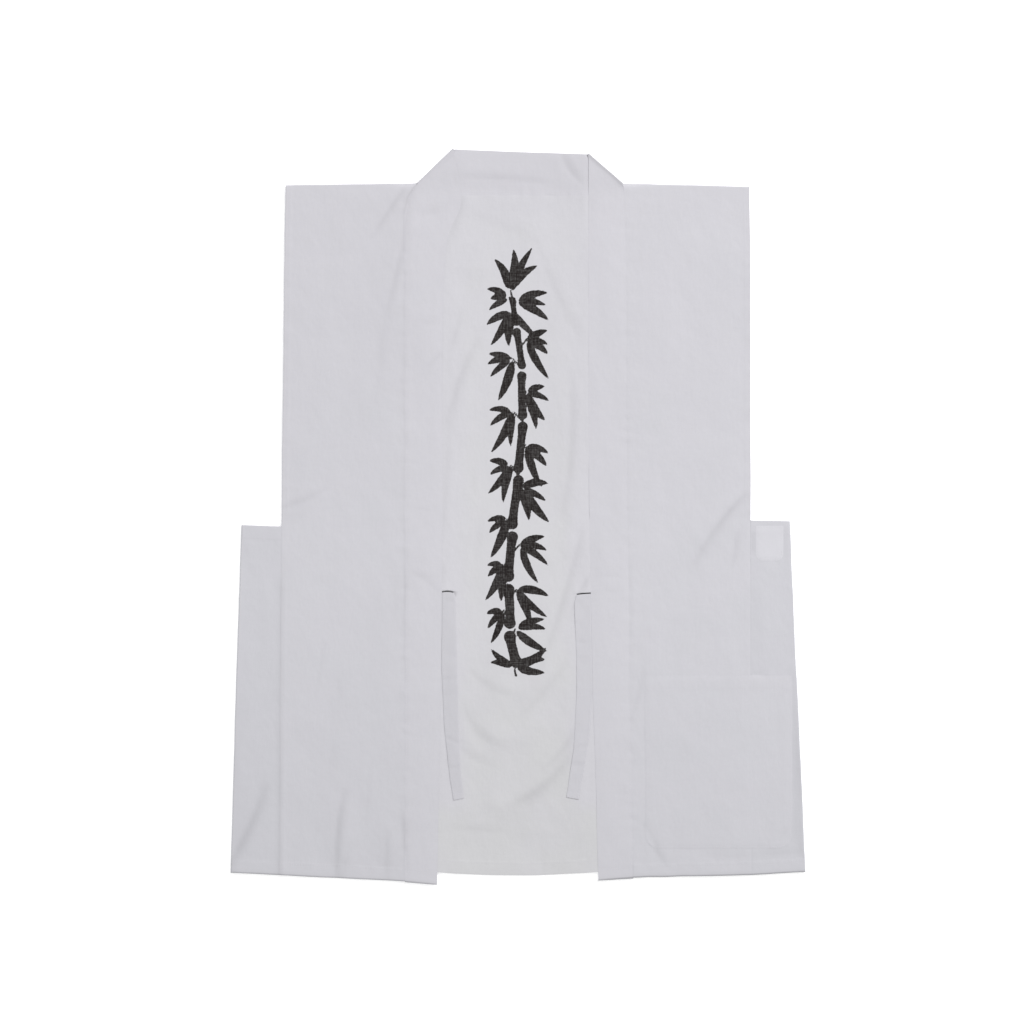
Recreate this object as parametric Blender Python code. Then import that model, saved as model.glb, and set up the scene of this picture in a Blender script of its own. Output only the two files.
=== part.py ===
"""Sleeveless pilgrim robe of white cotton, laid flat on its back with the front open.

Its neck points to +Y and its underside lies on Z = 0, with the origin under the middle of its outline.
Left and right are the viewer's: left is towards -X. All sizes are in metres.
"""

from collections import namedtuple
from math import ceil, pi

import bmesh
import bpy
import numpy as np

# Cloth
WALL = 0.0010  # one layer
BAND_WALL = 0.0016  # the collar band, which is cloth folded double
TIE_WALL = 0.0012
CROWN = 0.0004  # a band or tie is this much thinner at its long edges
GAP = 0.0003  # between pieces that touch
SEAM_SHIFT = 0.00018  # each of two pieces keeps this far from the seam between them
ON_BACK = WALL + GAP  # underside of what lies on the back panel
ON_FRONT = 2 * (WALL + GAP)  # underside of what lies on a front or a gusset

# Hems, which stand a little above their panels
HEM = 0.015
ARMHOLE_HEM = 0.007
POCKET_HEM = 0.018
HEM_STEP = 0.0004
STEP_RUN = 0.0008  # length of the slope at a hem's stitched edge

# Spacing of the points, and where they lie across a piece as shares of its width
ROW_SPACING = 0.014
PANEL_COLUMNS = 12
OPENING_COLUMNS = 17
BESIDE_COLUMNS = 4  # across the back under each front
NECK_COLUMNS = 15
FOLD_STEPS = 6  # steps round the half turn of a folded edge
TURNED_UNDER = (0, 0.5, 1)
BAND_COLUMNS = np.array((0, 0.05, 0.25, 0.5, 0.75, 0.95, 1))
GUSSET_COLUMNS = np.array((0, 0.25, 0.5, 0.75, 1))
TIE_COLUMNS = (0, 0.12, 0.88, 1)
PATCH_COLUMNS = (0, 0.25, 0.5, 0.75, 1)

# Lines across the robe, as Y
NECK_SEAM = 0.3724  # the collar's seam on the back neck
ARMHOLE_LOW = -0.0060
BACK_HEM = -0.4118
BACK_HEM_SAG = 0.0037  # the back hem reaches this much lower in the middle of the opening
OPENING_LOW_HALF = 0.0934  # half the width of the opening at the hem

# Each front and its collar stretch, from the shoulder fold to the hem. A row is one line across them:
# the panel's outer edge, the seam between panel and band, and the band's free edge.
Row = namedtuple("Row", "edge_x edge_y seam_x seam_y free_x free_y")
LEFT_ROWS = (
    Row(-0.2691, 0.3849, -0.1166, 0.3863, -0.0748, 0.4257),
    Row(-0.2694, 0.3705, -0.1270, 0.3712, -0.0673, 0.3909),
    Row(-0.2697, 0.3500, -0.1317, 0.3503, -0.0644, 0.3596),
    Row(-0.2700, 0.3306, -0.1317, 0.3306, -0.0795, 0.3329),
    Row(-0.2703, 0.3074, -0.1314, 0.3074, -0.0835, 0.3097),
    Row(-0.2710, 0.2517, -0.1313, 0.2517, -0.0864, 0.2517),
    Row(-0.2722, 0.1357, -0.1313, 0.1357, -0.0870, 0.1357),
    Row(-0.2737, -0.0060, -0.1311, -0.0060, -0.0867, -0.0060),
    Row(-0.2749, -0.1717, -0.1309, -0.1717, -0.0882, -0.1717),
    Row(-0.2757, -0.2703, -0.1307, -0.2703, -0.0899, -0.2703),
    Row(-0.2767, -0.4147, -0.1305, -0.4217, -0.0934, -0.4257),
)
RIGHT_ROWS = (
    Row(0.2686, 0.3828, 0.1230, 0.3863, 0.0829, 0.4199),
    Row(0.2688, 0.3700, 0.1239, 0.3712, 0.0824, 0.3932),
    Row(0.2690, 0.3500, 0.1247, 0.3503, 0.0824, 0.3596),
    Row(0.2692, 0.3306, 0.1253, 0.3306, 0.0824, 0.3329),
    Row(0.2700, 0.2517, 0.1264, 0.2517, 0.0824, 0.2517),
    Row(0.2700, 0.0313, 0.1270, 0.0313, 0.0824, 0.0313),
    Row(0.2697, -0.0060, 0.1276, -0.0060, 0.0833, -0.0060),
    Row(0.2700, -0.0893, 0.1288, -0.0893, 0.0853, -0.0893),
    Row(0.2703, -0.2007, 0.1303, -0.2007, 0.0876, -0.2007),
    Row(0.2706, -0.3167, 0.1322, -0.3167, 0.0911, -0.3167),
    Row(0.2709, -0.4141, 0.1340, -0.4172, 0.0934, -0.4211),
)
BAND_DROP = 0.0010  # the band's end hangs this much lower than the front hem beside it
BAND_RETURN = 0.008  # how far the front stretches of the collar turn under at the neck
BAND_SLOPE = 0.025  # length over which they come down from the neck stretch to the back

# Each tie, from its sewn top to its free end
TieRow = namedtuple("TieRow", "y outer_x inner_x")
LEFT_TIE = (
    TieRow(-0.0864, -0.0876, -0.0725),
    TieRow(-0.1717, -0.0880, -0.0702),
    TieRow(-0.2587, -0.0880, -0.0684),
    TieRow(-0.2650, -0.0822, -0.0681),
    TieRow(-0.2981, -0.0788, -0.0661),
    TieRow(-0.3271, -0.0742, -0.0622),
)
RIGHT_TIE = (
    TieRow(-0.0880, 0.0858, 0.0688),
    TieRow(-0.0997, 0.0860, 0.0654),
    TieRow(-0.1624, 0.0872, 0.0688),
    TieRow(-0.2018, 0.0876, 0.0688),
    TieRow(-0.2482, 0.0840, 0.0666),
    TieRow(-0.2703, 0.0799, 0.0649),
    TieRow(-0.3004, 0.0748, 0.0600),
    TieRow(-0.3260, 0.0709, 0.0567),
)
TIE_CLEARANCE = 1.5 * GAP  # from the band's free edge

# Each side gusset: its outer fold and its seam, at the armhole and at the hem
GussetRow = namedtuple("GussetRow", "fold_x fold_y seam_x seam_y")
LEFT_GUSSET = (
    GussetRow(-0.3202, -0.0093, -0.2738, -0.0110),
    GussetRow(-0.3329, -0.4118, -0.2767, -0.4147),
)
RIGHT_GUSSET = (
    GussetRow(0.3155, -0.0052, 0.2698, -0.0040),
    GussetRow(0.3329, -0.4107, 0.2709, -0.4141),
)

# Trim on the right side
Patch = namedtuple("Patch", "name left right top bottom corner hem")
POCKET = Patch("pocket", 0.1479, 0.3184, -0.1833, -0.3840, 0.016, POCKET_HEM)
LABEL = Patch("label", 0.2767, 0.3080, -0.0085, -0.0510, 0.008, 0)
CORNER_STEPS = 4

# Largest folds: a soft ridge along the curve from start past middle to end
Fold = namedtuple("Fold", "start middle end height spread")
BACK_FOLDS = (
    Fold((-0.002, 0.333), (0.034, 0.284), (0.071, 0.220), 0.0007, 0.016),
    Fold((-0.050, 0.196), (-0.064, 0.170), (-0.080, 0.136), 0.0008, 0.014),
    Fold((0.052, 0.165), (0.052, 0.080), (0.050, -0.010), 0.0006, 0.014),
    Fold((0.070, 0.020), (0.052, -0.073), (0.034, -0.140), 0.0009, 0.014),
    Fold((0.050, -0.100), (0.040, -0.235), (-0.040, -0.189), 0.0013, 0.013),
    Fold((-0.056, -0.208), (-0.030, -0.300), (0.052, -0.222), 0.0012, 0.013),
    Fold((0.054, -0.262), (0.006, -0.385), (-0.050, -0.306), 0.0017, 0.014),
)
LEFT_FOLDS = (
    Fold((-0.128, 0.372), (-0.150, 0.270), (-0.158, 0.190), 0.0009, 0.016),
    Fold((-0.262, 0.014), (-0.242, 0.020), (-0.222, 0.032), 0.0008, 0.012),
    Fold((-0.203, -0.320), (-0.207, -0.360), (-0.207, -0.405), 0.0013, 0.012),
    Fold((-0.150, -0.350), (-0.152, -0.380), (-0.152, -0.405), 0.0010, 0.012),
)
RIGHT_FOLDS = (
    Fold((0.262, 0.024), (0.238, -0.004), (0.208, -0.036), 0.0014, 0.013),
    Fold((0.168, 0.300), (0.176, 0.220), (0.172, 0.130), 0.0006, 0.018),
)
GUSSET_FOLDS = (Fold((-0.293, -0.318), (-0.305, -0.345), (-0.322, -0.385), 0.0009, 0.012),)
NECK_FOLDS = (Fold((-0.062, 0.393), (-0.015, 0.397), (0.040, 0.391), 0.0006, 0.012),)
CURVE_POINTS = 13  # at which a fold's curve is measured
CURVE_TAPER = 0.08  # a fold's ends are as high as a sine wave this share of the way up
SHOULDER_CLEAR = 0.020  # folds of a front rise over this length below the shoulder

# The back lies flat under what rests on it: its folds end short of the bands, and of the ties
OPENING_HALF = 0.081
BETWEEN_TIES_HALF = 0.054
FOLD_FADE = 0.027
TIES_TOP, TIES_END = -0.060, -0.350  # a little past the ties, as Y
TIES_FADE = 0.025

Side = namedtuple("Side", "name sign rows folds gusset gusset_folds tie")
LEFT = Side("left", -1, LEFT_ROWS, LEFT_FOLDS, LEFT_GUSSET, GUSSET_FOLDS, LEFT_TIE)
RIGHT = Side("right", 1, RIGHT_ROWS, RIGHT_FOLDS, RIGHT_GUSSET, (), RIGHT_TIE)

# Colours of the cotton, as linear RGB
BODY_WHITE = (0.64, 0.64, 0.68)
BACK_WHITE = (0.66, 0.66, 0.68)
LABEL_WHITE = (0.72, 0.72, 0.76)
COTTON_ROUGHNESS = 0.9


def cotton(name, colour):
    """A plain matt white cotton."""
    material = bpy.data.materials.new(name)
    material.use_nodes = True
    shader = material.node_tree.nodes["Principled BSDF"]
    shader.inputs["Base Color"].default_value = (*colour, 1.0)
    shader.inputs["Roughness"].default_value = COTTON_ROUGHNESS
    shader.inputs["Metallic"].default_value = 0.0
    return material


def wall(name, outer, inner, colour):
    """A closed wall of cloth between two grids of points, given as rows by columns by XYZ."""
    rows, columns = outer.shape[:2]
    mesh = bmesh.new()
    faces = [[[mesh.verts.new(point) for point in row] for row in grid] for grid in (outer, inner)]
    for face in faces:
        for above, below in zip(face, face[1:]):
            for i in range(columns - 1):
                mesh.faces.new((above[i], above[i + 1], below[i + 1], below[i]))
    rims = [[face[row] for face in faces] for row in (0, rows - 1)]
    rims += [[[row[column] for row in face] for face in faces] for column in (0, columns - 1)]
    for above, below in rims:
        for i in range(len(above) - 1):
            mesh.faces.new((above[i], above[i + 1], below[i + 1], below[i]))
    bmesh.ops.recalc_face_normals(mesh, faces=mesh.faces[:])
    if mesh.calc_volume(signed=True) < 0:
        bmesh.ops.reverse_faces(mesh, faces=mesh.faces[:])
    data = bpy.data.meshes.new(name)
    mesh.to_mesh(data)
    mesh.free()
    data.materials.append(cotton(name, colour))
    piece = bpy.data.objects.new(name, data)
    piece.parent = robe
    bpy.context.scene.collection.objects.link(piece)


def with_height(plan, height):
    """Plan points as XYZ, all at one height or each at its own."""
    heights = np.broadcast_to(height, plan.shape[:-1])
    return np.concatenate([plan, heights[..., None]], axis=-1)


def between(first, last, shares):
    """Lines of points at each share of the way from one edge to the other."""
    shares = np.asarray(shares)[:, None, None]
    return first * (1 - shares) + last * shares


def columns_between(first, last, shares):
    """The same points, with the lines as the grid's columns."""
    return between(first, last, shares).transpose(1, 0, 2)


def smooth(value):
    """Runs softly from 0 to 1 as the value does."""
    value = np.clip(value, 0, 1)
    return value * value * (3 - 2 * value)


def read(table, by, marks, *names):
    """The table's named columns, where its column by, which falls from row to row, passes each mark."""
    falling = [-getattr(row, by) for row in table]
    columns = ([getattr(row, name) for row in table] for name in names)
    return np.column_stack([np.interp(-np.array(marks), falling, column) for column in columns])


def marks_down(stops):
    """The Y of each row of points: the stops, others between them, and two at the hem's stitched edge."""
    marks = []
    for start, end in zip(stops, stops[1:]):
        steps = ceil((start - end) / ROW_SPACING)
        marks += list(np.linspace(start, end, steps, endpoint=False))
    hem_top = stops[-1] + HEM
    marks = [mark for mark in marks if mark > hem_top + 2 * STEP_RUN]
    return np.array([*marks, hem_top + STEP_RUN, hem_top, stops[-1]])


def hem_step(marks):
    """What the hem adds to the thickness of each row of points: its last two rows are the hem's."""
    return HEM_STEP * (np.arange(len(marks)) >= len(marks) - 2)[:, None]


def folds_at(plan, folds):
    """Height of the folds over each plan point."""
    total = np.zeros(plan.shape[:-1])
    along = np.linspace(0, 1, CURVE_POINTS)
    taper = np.sin(pi * (CURVE_TAPER + (1 - 2 * CURVE_TAPER) * along))
    for fold in folds:
        start, middle, end = (np.array(point) for point in (fold.start, fold.middle, fold.end))
        share = along[:, None]
        curve = start * (1 - share) ** 2 + 2 * middle * share * (1 - share) + end * share**2
        reach = np.linalg.norm(plan[..., None, :] - curve, axis=-1)
        ridge = fold.height * taper[reach.argmin(axis=-1)]
        total = np.maximum(total, ridge * np.exp(-((reach.min(axis=-1) / fold.spread) ** 2)))
    return total


def folded_wall(name, lower, upper, outward, layer, under, extra):
    """Cloth that comes from below, turns round a soft fold and lies on itself.

    lower runs from its hidden edge to the fold's axis, and upper from the axis to its free edge. under is
    the height of the upper layer's underside, and extra is added to its thickness.
    """
    radius = layer + GAP / 2
    outer = [with_height(lower[:-1], 0)]
    inner = [with_height(lower[:-1], layer)]
    for angle in np.linspace(-pi / 2, pi / 2, FOLD_STEPS + 1):
        for face, reach in ((outer, radius), (inner, GAP / 2)):
            turned = upper[:1] + outward * reach * np.cos(angle)
            face.append(with_height(turned, radius + reach * np.sin(angle)))
    outer.append(with_height(upper[1:], (under + layer + extra)[1:]))
    inner.append(with_height(upper[1:], under[1:]))
    wall(name, np.concatenate(outer), np.concatenate(inner), BODY_WHITE)


def open_share(plan):
    """1 where the back shows in the opening, fading to 0 under the bands and the ties."""
    x, y = plan[..., 0], plan[..., 1]
    beside_ties = smooth((TIES_TOP - y) / TIES_FADE + 1) * smooth((y - TIES_END) / TIES_FADE + 1)
    half = OPENING_HALF + (BETWEEN_TIES_HALF - OPENING_HALF) * beside_ties
    return smooth((half - np.abs(x)) / FOLD_FADE)


def make_back():
    """The back panel, flat below, with the folds and the hem that show between the fronts."""
    marks = marks_down([NECK_SEAM - GAP, BACK_HEM])
    left_edge, right_edge = (read(side.rows, "edge_y", marks, "edge_x")[:, 0] for side in (LEFT, RIGHT))
    rows = []
    for y, left, right in zip(marks, left_edge + SEAM_SHIFT, right_edge - SEAM_SHIFT):
        x = [
            *np.linspace(left, -OPENING_HALF, BESIDE_COLUMNS, endpoint=False),
            *np.linspace(-OPENING_HALF, OPENING_HALF, OPENING_COLUMNS),
            *np.linspace(right, OPENING_HALF, BESIDE_COLUMNS, endpoint=False)[::-1],
        ]
        share_down = (marks[0] - y) / (marks[0] - BACK_HEM)
        sag = np.cos(pi / 2 * np.clip(np.array(x) / OPENING_LOW_HALF, -1, 1))
        rows.append(np.column_stack([x, y - BACK_HEM_SAG * share_down * sag]))
    plan = np.array(rows)
    relief = (folds_at(plan, BACK_FOLDS) + hem_step(marks)) * open_share(plan)
    wall("back", with_height(plan, WALL + relief), with_height(plan, 0), BACK_WHITE)


def band_fold(side):
    """The axis of the slanting fold where a collar stretch turns at the neck, as its end at the seam and
    its end at the free edge, and the way out of the fold."""
    row = side.rows[0]
    seam = np.array((row.seam_x, row.seam_y))
    free = np.array((row.free_x, row.free_y))
    along = (free - seam) / np.linalg.norm(free - seam)
    outward = side.sign * np.array((along[1], -along[0]))
    radius = BAND_WALL + GAP / 2
    return seam - outward * radius, free - outward * radius, outward


def neck_corner_x(side, y):
    """Where the lower layer of the collar ends beside the shoulder, at this Y."""
    seam, _, outward = band_fold(side)
    return seam[0] - outward[0] * (seam[1] - y) / outward[1]


def make_front(side):
    """A front panel, which turns over the shoulder fold to meet the back's top edge."""
    marks = marks_down([row.seam_y for row in side.rows])
    inward = np.array((side.sign * SEAM_SHIFT, 0))
    edge = read(side.rows, "seam_y", marks, "edge_x", "edge_y") - inward
    seam = read(side.rows, "seam_y", marks, "seam_x", "seam_y") + inward
    width = abs(edge[0, 0] - seam[0, 0])
    panel = np.linspace((ARMHOLE_HEM + STEP_RUN) / width, 1, PANEL_COLUMNS)
    columns = np.array([0, ARMHOLE_HEM / width, *panel])
    upper = columns_between(edge, seam, columns)
    upper[0, :, 1] -= WALL + GAP / 2
    hidden_x = edge[0, 0], neck_corner_x(side, NECK_SEAM) + 2 * side.sign * GAP
    hidden = [(hidden_x[0] + (hidden_x[1] - hidden_x[0]) * share, NECK_SEAM) for share in columns]
    lower = between(np.array(hidden), upper[0], TURNED_UNDER)
    below_shoulder = smooth((upper[0, :, 1] - upper[..., 1]) / SHOULDER_CLEAR)
    under = ON_BACK + folds_at(upper, side.folds) * below_shoulder
    at_armhole = (upper[..., 1] > ARMHOLE_LOW) & (columns <= ARMHOLE_HEM / width)
    extra = np.maximum(hem_step(marks), HEM_STEP * at_armhole)
    folded_wall(f"front_{side.name}", lower, upper, np.array((0, 1)), WALL, under, extra)


def make_gusset(side):
    """A side gusset: a strip folded along its outer edge, between the sides of the back and the front."""
    marks = marks_down([row.seam_y for row in side.gusset])
    outward = np.array((side.sign, 0))
    seam = read(side.gusset, "seam_y", marks, "seam_x", "seam_y") + outward * SEAM_SHIFT
    fold = read(side.gusset, "seam_y", marks, "fold_x", "fold_y")
    axis = fold - outward * (WALL + GAP / 2)
    lower = between(seam, axis, TURNED_UNDER)
    upper = between(axis, seam, GUSSET_COLUMNS)
    clear_of_fold = (GUSSET_COLUMNS > 0)[:, None]
    inside = clear_of_fold & (GUSSET_COLUMNS < 1)[:, None]
    under = ON_BACK + folds_at(upper, side.gusset_folds) * inside
    extra = hem_step(marks).T * clear_of_fold
    folded_wall(f"gusset_{side.name}", lower, upper, outward, WALL, under, extra)


def make_band(side):
    """A front stretch of the collar, from the slanting fold at the neck down to the hem."""
    marks = marks_down([row.seam_y for row in side.rows])
    seam = read(side.rows, "seam_y", marks, "seam_x", "seam_y") - (side.sign * SEAM_SHIFT, 0)
    free = read(side.rows, "seam_y", marks, "free_x", "free_y")
    seam[-1, 1] -= BAND_DROP
    axis_seam, axis_free, outward = band_fold(side)
    seam[0], free[0] = axis_seam, axis_free
    upper = columns_between(seam, free, BAND_COLUMNS)
    end_seam = axis_seam - outward * BAND_RETURN
    end_free = axis_free - np.array((side.sign * BAND_RETURN, 0))
    end = end_seam + (end_free - end_seam) * BAND_COLUMNS[:, None]
    lower = between(end, upper[0], TURNED_UNDER)
    on_neck = smooth((upper[..., 1] - NECK_SEAM + GAP) / BAND_SLOPE + 1)
    under = ON_BACK + (BAND_WALL - WALL) * on_neck
    at_edge = (BAND_COLUMNS == 0) | (BAND_COLUMNS == 1)
    folded_wall(f"collar_{side.name}", lower, upper, outward, BAND_WALL, under, -CROWN * at_edge)


def make_neck():
    """The stretch of the collar behind the neck, between the turned ends of the front stretches."""
    edges = []
    for side in (LEFT, RIGHT):
        axis_seam, axis_free, outward = band_fold(side)
        clear = BAND_RETURN + 2 * GAP
        low = np.array((neck_corner_x(side, NECK_SEAM), NECK_SEAM))
        corner = axis_seam - outward * clear
        high = axis_free - np.array((side.sign * clear, 0))
        edges.append(np.array([low, *(corner + (high - corner) * share for share in GUSSET_COLUMNS)]))
    plan = columns_between(*edges, np.linspace(0, 1, NECK_COLUMNS))
    height = BAND_WALL + folds_at(plan, NECK_FOLDS)
    wall("collar_neck", with_height(plan, height), with_height(plan, 0), BODY_WHITE)


def make_tie(side):
    """A flat tie, sewn at the band's free edge and lying on the back."""
    steps = ceil((side.tie[0].y - side.tie[-1].y) / ROW_SPACING)
    marks = np.linspace(side.tie[0].y, side.tie[-1].y, steps)
    outer, inner = read(side.tie, "y", marks, "outer_x", "inner_x").T
    beside_band = read(side.rows, "free_y", marks, "free_x")[:, 0] - side.sign * TIE_CLEARANCE
    outer = side.sign * np.minimum(side.sign * outer, side.sign * beside_band)
    edges = np.column_stack([outer, marks]), np.column_stack([inner, marks])
    plan = columns_between(*edges, TIE_COLUMNS)
    crown = CROWN * np.array([share in (0, 1) for share in TIE_COLUMNS])
    top = with_height(plan, ON_BACK + TIE_WALL - crown)
    wall(f"tie_{side.name}", top, with_height(plan, ON_BACK), BODY_WHITE)


def make_patch(patch, colour):
    """A flat patch with rounded lower corners and, if it has one, a raised hem at its top."""
    straight_end = patch.bottom + patch.corner
    marks = list(np.arange(patch.top, straight_end, -ROW_SPACING))
    if patch.hem:
        hem_low = patch.top - patch.hem
        marks = [mark for mark in marks if mark == patch.top or mark < hem_low - 2 * STEP_RUN]
        marks[1:1] = [hem_low, hem_low - STEP_RUN]
    turns = np.linspace(0, pi / 2, CORNER_STEPS + 1)
    marks = np.array([*marks, *(straight_end - patch.corner * np.sin(turns))])
    inset = np.concatenate([np.zeros(len(marks) - len(turns)), patch.corner * (1 - np.cos(turns))])
    edges = np.column_stack([patch.left + inset, marks]), np.column_stack([patch.right - inset, marks])
    plan = columns_between(*edges, PATCH_COLUMNS)
    raised = HEM_STEP * (marks >= patch.top - patch.hem)[:, None] * (patch.hem > 0)
    wall(patch.name, with_height(plan, ON_FRONT + WALL + raised), with_height(plan, ON_FRONT), colour)


for old in list(bpy.data.objects):
    bpy.data.objects.remove(old, do_unlink=True)

robe = bpy.data.objects.new("robe", None)
bpy.context.scene.collection.objects.link(robe)

make_back()
make_neck()
for side in (LEFT, RIGHT):
    make_front(side)
    make_gusset(side)
    make_band(side)
    make_tie(side)
make_patch(POCKET, BODY_WHITE)
make_patch(LABEL, LABEL_WHITE)
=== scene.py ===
"""Looks of the sleeveless pilgrim robe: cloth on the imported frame, with its creases, hems, stitches and ink
motif, on a white floor under soft studio light.

All sizes are in metres. Left and right are the viewer's: left is towards -X, and the neck is towards +Y.
"""

from collections import namedtuple
from math import ceil, cos, pi, radians, sin

import bpy
import numpy as np
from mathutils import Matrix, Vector


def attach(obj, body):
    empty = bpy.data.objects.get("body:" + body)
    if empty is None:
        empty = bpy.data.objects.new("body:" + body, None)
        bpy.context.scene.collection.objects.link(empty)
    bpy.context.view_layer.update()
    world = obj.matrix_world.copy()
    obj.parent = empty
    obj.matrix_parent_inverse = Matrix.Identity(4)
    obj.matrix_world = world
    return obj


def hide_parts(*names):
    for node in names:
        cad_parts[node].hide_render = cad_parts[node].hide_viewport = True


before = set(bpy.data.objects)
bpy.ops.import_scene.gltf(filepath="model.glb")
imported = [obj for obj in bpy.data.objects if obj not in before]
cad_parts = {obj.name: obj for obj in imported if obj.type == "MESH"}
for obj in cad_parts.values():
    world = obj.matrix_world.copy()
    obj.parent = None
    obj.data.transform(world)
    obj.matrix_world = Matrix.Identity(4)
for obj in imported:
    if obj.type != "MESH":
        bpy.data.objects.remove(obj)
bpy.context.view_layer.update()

# Layers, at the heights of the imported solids
WALL = 0.0010
BAND_WALL = 0.0016
GAP = 0.0003
ON_BACK = WALL + GAP

# Thickness of the cloth in each kind of piece
SHEET = 0.0008
BAND_SHEET = 0.0012
TIE_SHEET = 0.00045
POCKET_SHEET = 0.0004
LABEL_SHEET = 0.0003
CLEARANCE = 0.00008  # kept between layers that lie on each other

# Hems and edges
HEM = 0.015
ARMHOLE_HEM = 0.007
POCKET_HEM = 0.018
TIE_HEM = 0.007
HEM_STEP = 0.00016
STEP_RUN = 0.0024
STITCH_IN = 0.0015  # stitches run this far inside a hem's upper edge
STITCH_DENT = 0.00007
DENT_SPREAD = 0.0011
EDGE_ROLL = 0.0014
EDGE_DROP = 0.00012
FOOT_DROP = 0.00060  # at the hems along the foot, which are rounder
ALLOWANCE = 0.00015  # height of the cloth turned in at a side seam
ALLOWANCE_AT = 0.003
ALLOWANCE_SPREAD = 0.004

# Unevenness of loose cloth, as height and size
SLACK = (
    (0.00030, (0.080, 0.095)),
    (0.00020, (0.022, 0.070)),
    (0.00018, (0.030, 0.034)),
    (0.00011, (0.013, 0.016)),
)
PUCKER = 0.00026
PUCKER_REACH = 0.007
ALONG_X = (0.007, 0.022)  # ripples drawn up along a line that runs in X
ALONG_Y = (0.022, 0.007)
WANDER = ((0.0004, 0.075), (0.00020, 0.019))  # how far edges and seams stray, and over what length
LATTICE = 64  # cells of noise before it repeats
SHARP = radians(55)  # an edge between faces that meet at more than this isn't smoothed

# How the cloth rises or dips at a seam or an edge, and from how far away
SEAM_RISE = 0.00045
SEAM_RISE_REACH = 0.026
SEAM_RISE_FADE = 0.006  # down from the shoulder fold
BAND_SEAM_DEPTH = 0.00015
BAND_SEAM_REACH = 0.0060
BAND_EDGE_REACH = 0.0080
NECK_SEAM_REACH = 0.0130
NECK_RISE_HALF, NECK_RISE_FADE = 0.095, 0.015  # how far to each side the cloth is drawn up at the neck seam
SIDE_DEPTH = 0.00008
SIDE_REACH = 0.003
SWELL = 0.00135  # the back and the neck stretch are drawn up to the bands' free edges
SWELL_OPEN, SWELL_HIDDEN = 0.028, 0.008
SWELL_POWER = 1.6  # of this rise and of those at the seams

# Creases and seams look darker than open cloth, by this share of its colour for each metre of depth
SHADE = 165
SEAM_SHADE = 0.028
SEAM_SHADE_RUN = 0.0021
SIDE_SHADE = {"left": 0.074, "right": 0.012}
SIDE_SHADE_RUN = 0.0030
SIDE_SHADE_TOP, SIDE_SHADE_FADE = -0.055, 0.03  # the Y where it starts, and how softly
SIDE_SHADE_LATE = 0.25  # share that it gains further down
SIDE_SHADE_FULL, SIDE_SHADE_GAIN = -0.24, 0.04  # from this Y, and how softly
POCKET_SHADE = 0.003
POCKET_SHADE_RUN = 0.002
FOOT_SHADE = {"left": 0.26, "right": 0.40}  # along the foot, where the layers' edges lie in their own shadow
RIM_SHADE = 0.05  # along the outer edges
RIM_SHADE_RUN = 0.0014
SLANT_SHADE = {"left": 0.05, "right": 0.28}  # along the collar's slanting folds
SLANT_SHADE_RUN = 0.0042
TIE_SHADE = {"left": 0.040, "right": 0.008}
NECK_SHADE, NECK_SHADE_FROM, NECK_SHADE_FADE = 0.036, 0.366, 0.02  # round the neck, and from which Y

# Share of a collar seam's shade at some places down it, as Y and share
LEFT_SEAM = (
    (0.390, 2.0), (0.370, 3.6), (0.345, 2.4), (0.320, 1.4), (0.300, 1.1), (0.215, 1.3), (0.120, 1.2),
    (-0.050, 1.2), (-0.080, 2.4), (-0.140, 1.6), (-0.210, 0.6), (-0.330, 0.5), (-0.420, 0.9),
)
RIGHT_SEAM = ((0.386, 0.3), (0.200, 0.4), (0.000, 0.4), (-0.100, 0.5), (-0.300, 0.3), (-0.420, 0.3))

# Height of a band's free edge over the cloth below it, at some places down it, as Y and height
LEFT_EDGE = (
    (0.385, 0.00006), (0.362, 0.00024), (0.320, 0.00016), (-0.080, 0.00014), (-0.092, 0.00034),
    (-0.128, 0.00034), (-0.142, 0.00010), (-0.176, 0.00010), (-0.190, 0.00014), (-0.245, 0.00014),
    (-0.262, 0.00010), (-0.420, 0.00016),
)
RIGHT_EDGE = (
    (0.395, 0.00050), (0.384, 0.00040), (0.372, 0.00016), (0.310, 0.00010), (0.290, 0.00018),
    (0.260, 0.00018), (0.240, 0.00006), (0.205, 0.00018), (0.180, 0.00018), (0.160, 0.00006),
    (0.075, 0.00008), (0.050, 0.00026), (0.004, 0.00030), (-0.006, 0.00005), (-0.120, 0.00006),
    (-0.200, 0.00018), (-0.420, 0.00024),
)

# Lines across the robe, as Y
NECK_SEAM = 0.3724
ARMHOLE_LOW = -0.0060
BACK_HEM = -0.4118
BACK_HEM_SAG = 0.0037
OPENING_LOW_HALF = 0.0934

# Each front and its collar stretch, from the shoulder fold to the hem. A row is one line across them:
# the panel's outer edge, the seam between panel and band, and the band's free edge.
Row = namedtuple("Row", "edge_x edge_y seam_x seam_y free_x free_y")
LEFT_ROWS = (
    Row(-0.2687, 0.3849, -0.1172, 0.3869, -0.0752, 0.4271),
    Row(-0.2694, 0.3705, -0.1270, 0.3712, -0.0673, 0.3909),
    Row(-0.2697, 0.3500, -0.1317, 0.3503, -0.0644, 0.3596),
    Row(-0.2700, 0.3306, -0.1317, 0.3306, -0.0795, 0.3329),
    Row(-0.2703, 0.3074, -0.1314, 0.3074, -0.0835, 0.3097),
    Row(-0.2710, 0.2517, -0.1313, 0.2517, -0.0864, 0.2517),
    Row(-0.2722, 0.1357, -0.1313, 0.1357, -0.0870, 0.1357),
    Row(-0.2737, -0.0060, -0.1311, -0.0060, -0.0867, -0.0060),
    Row(-0.2749, -0.1717, -0.1309, -0.1717, -0.0882, -0.1717),
    Row(-0.2757, -0.2703, -0.1307, -0.2703, -0.0899, -0.2703),
    Row(-0.2767, -0.4153, -0.1305, -0.4223, -0.0934, -0.4262),
)
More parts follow.
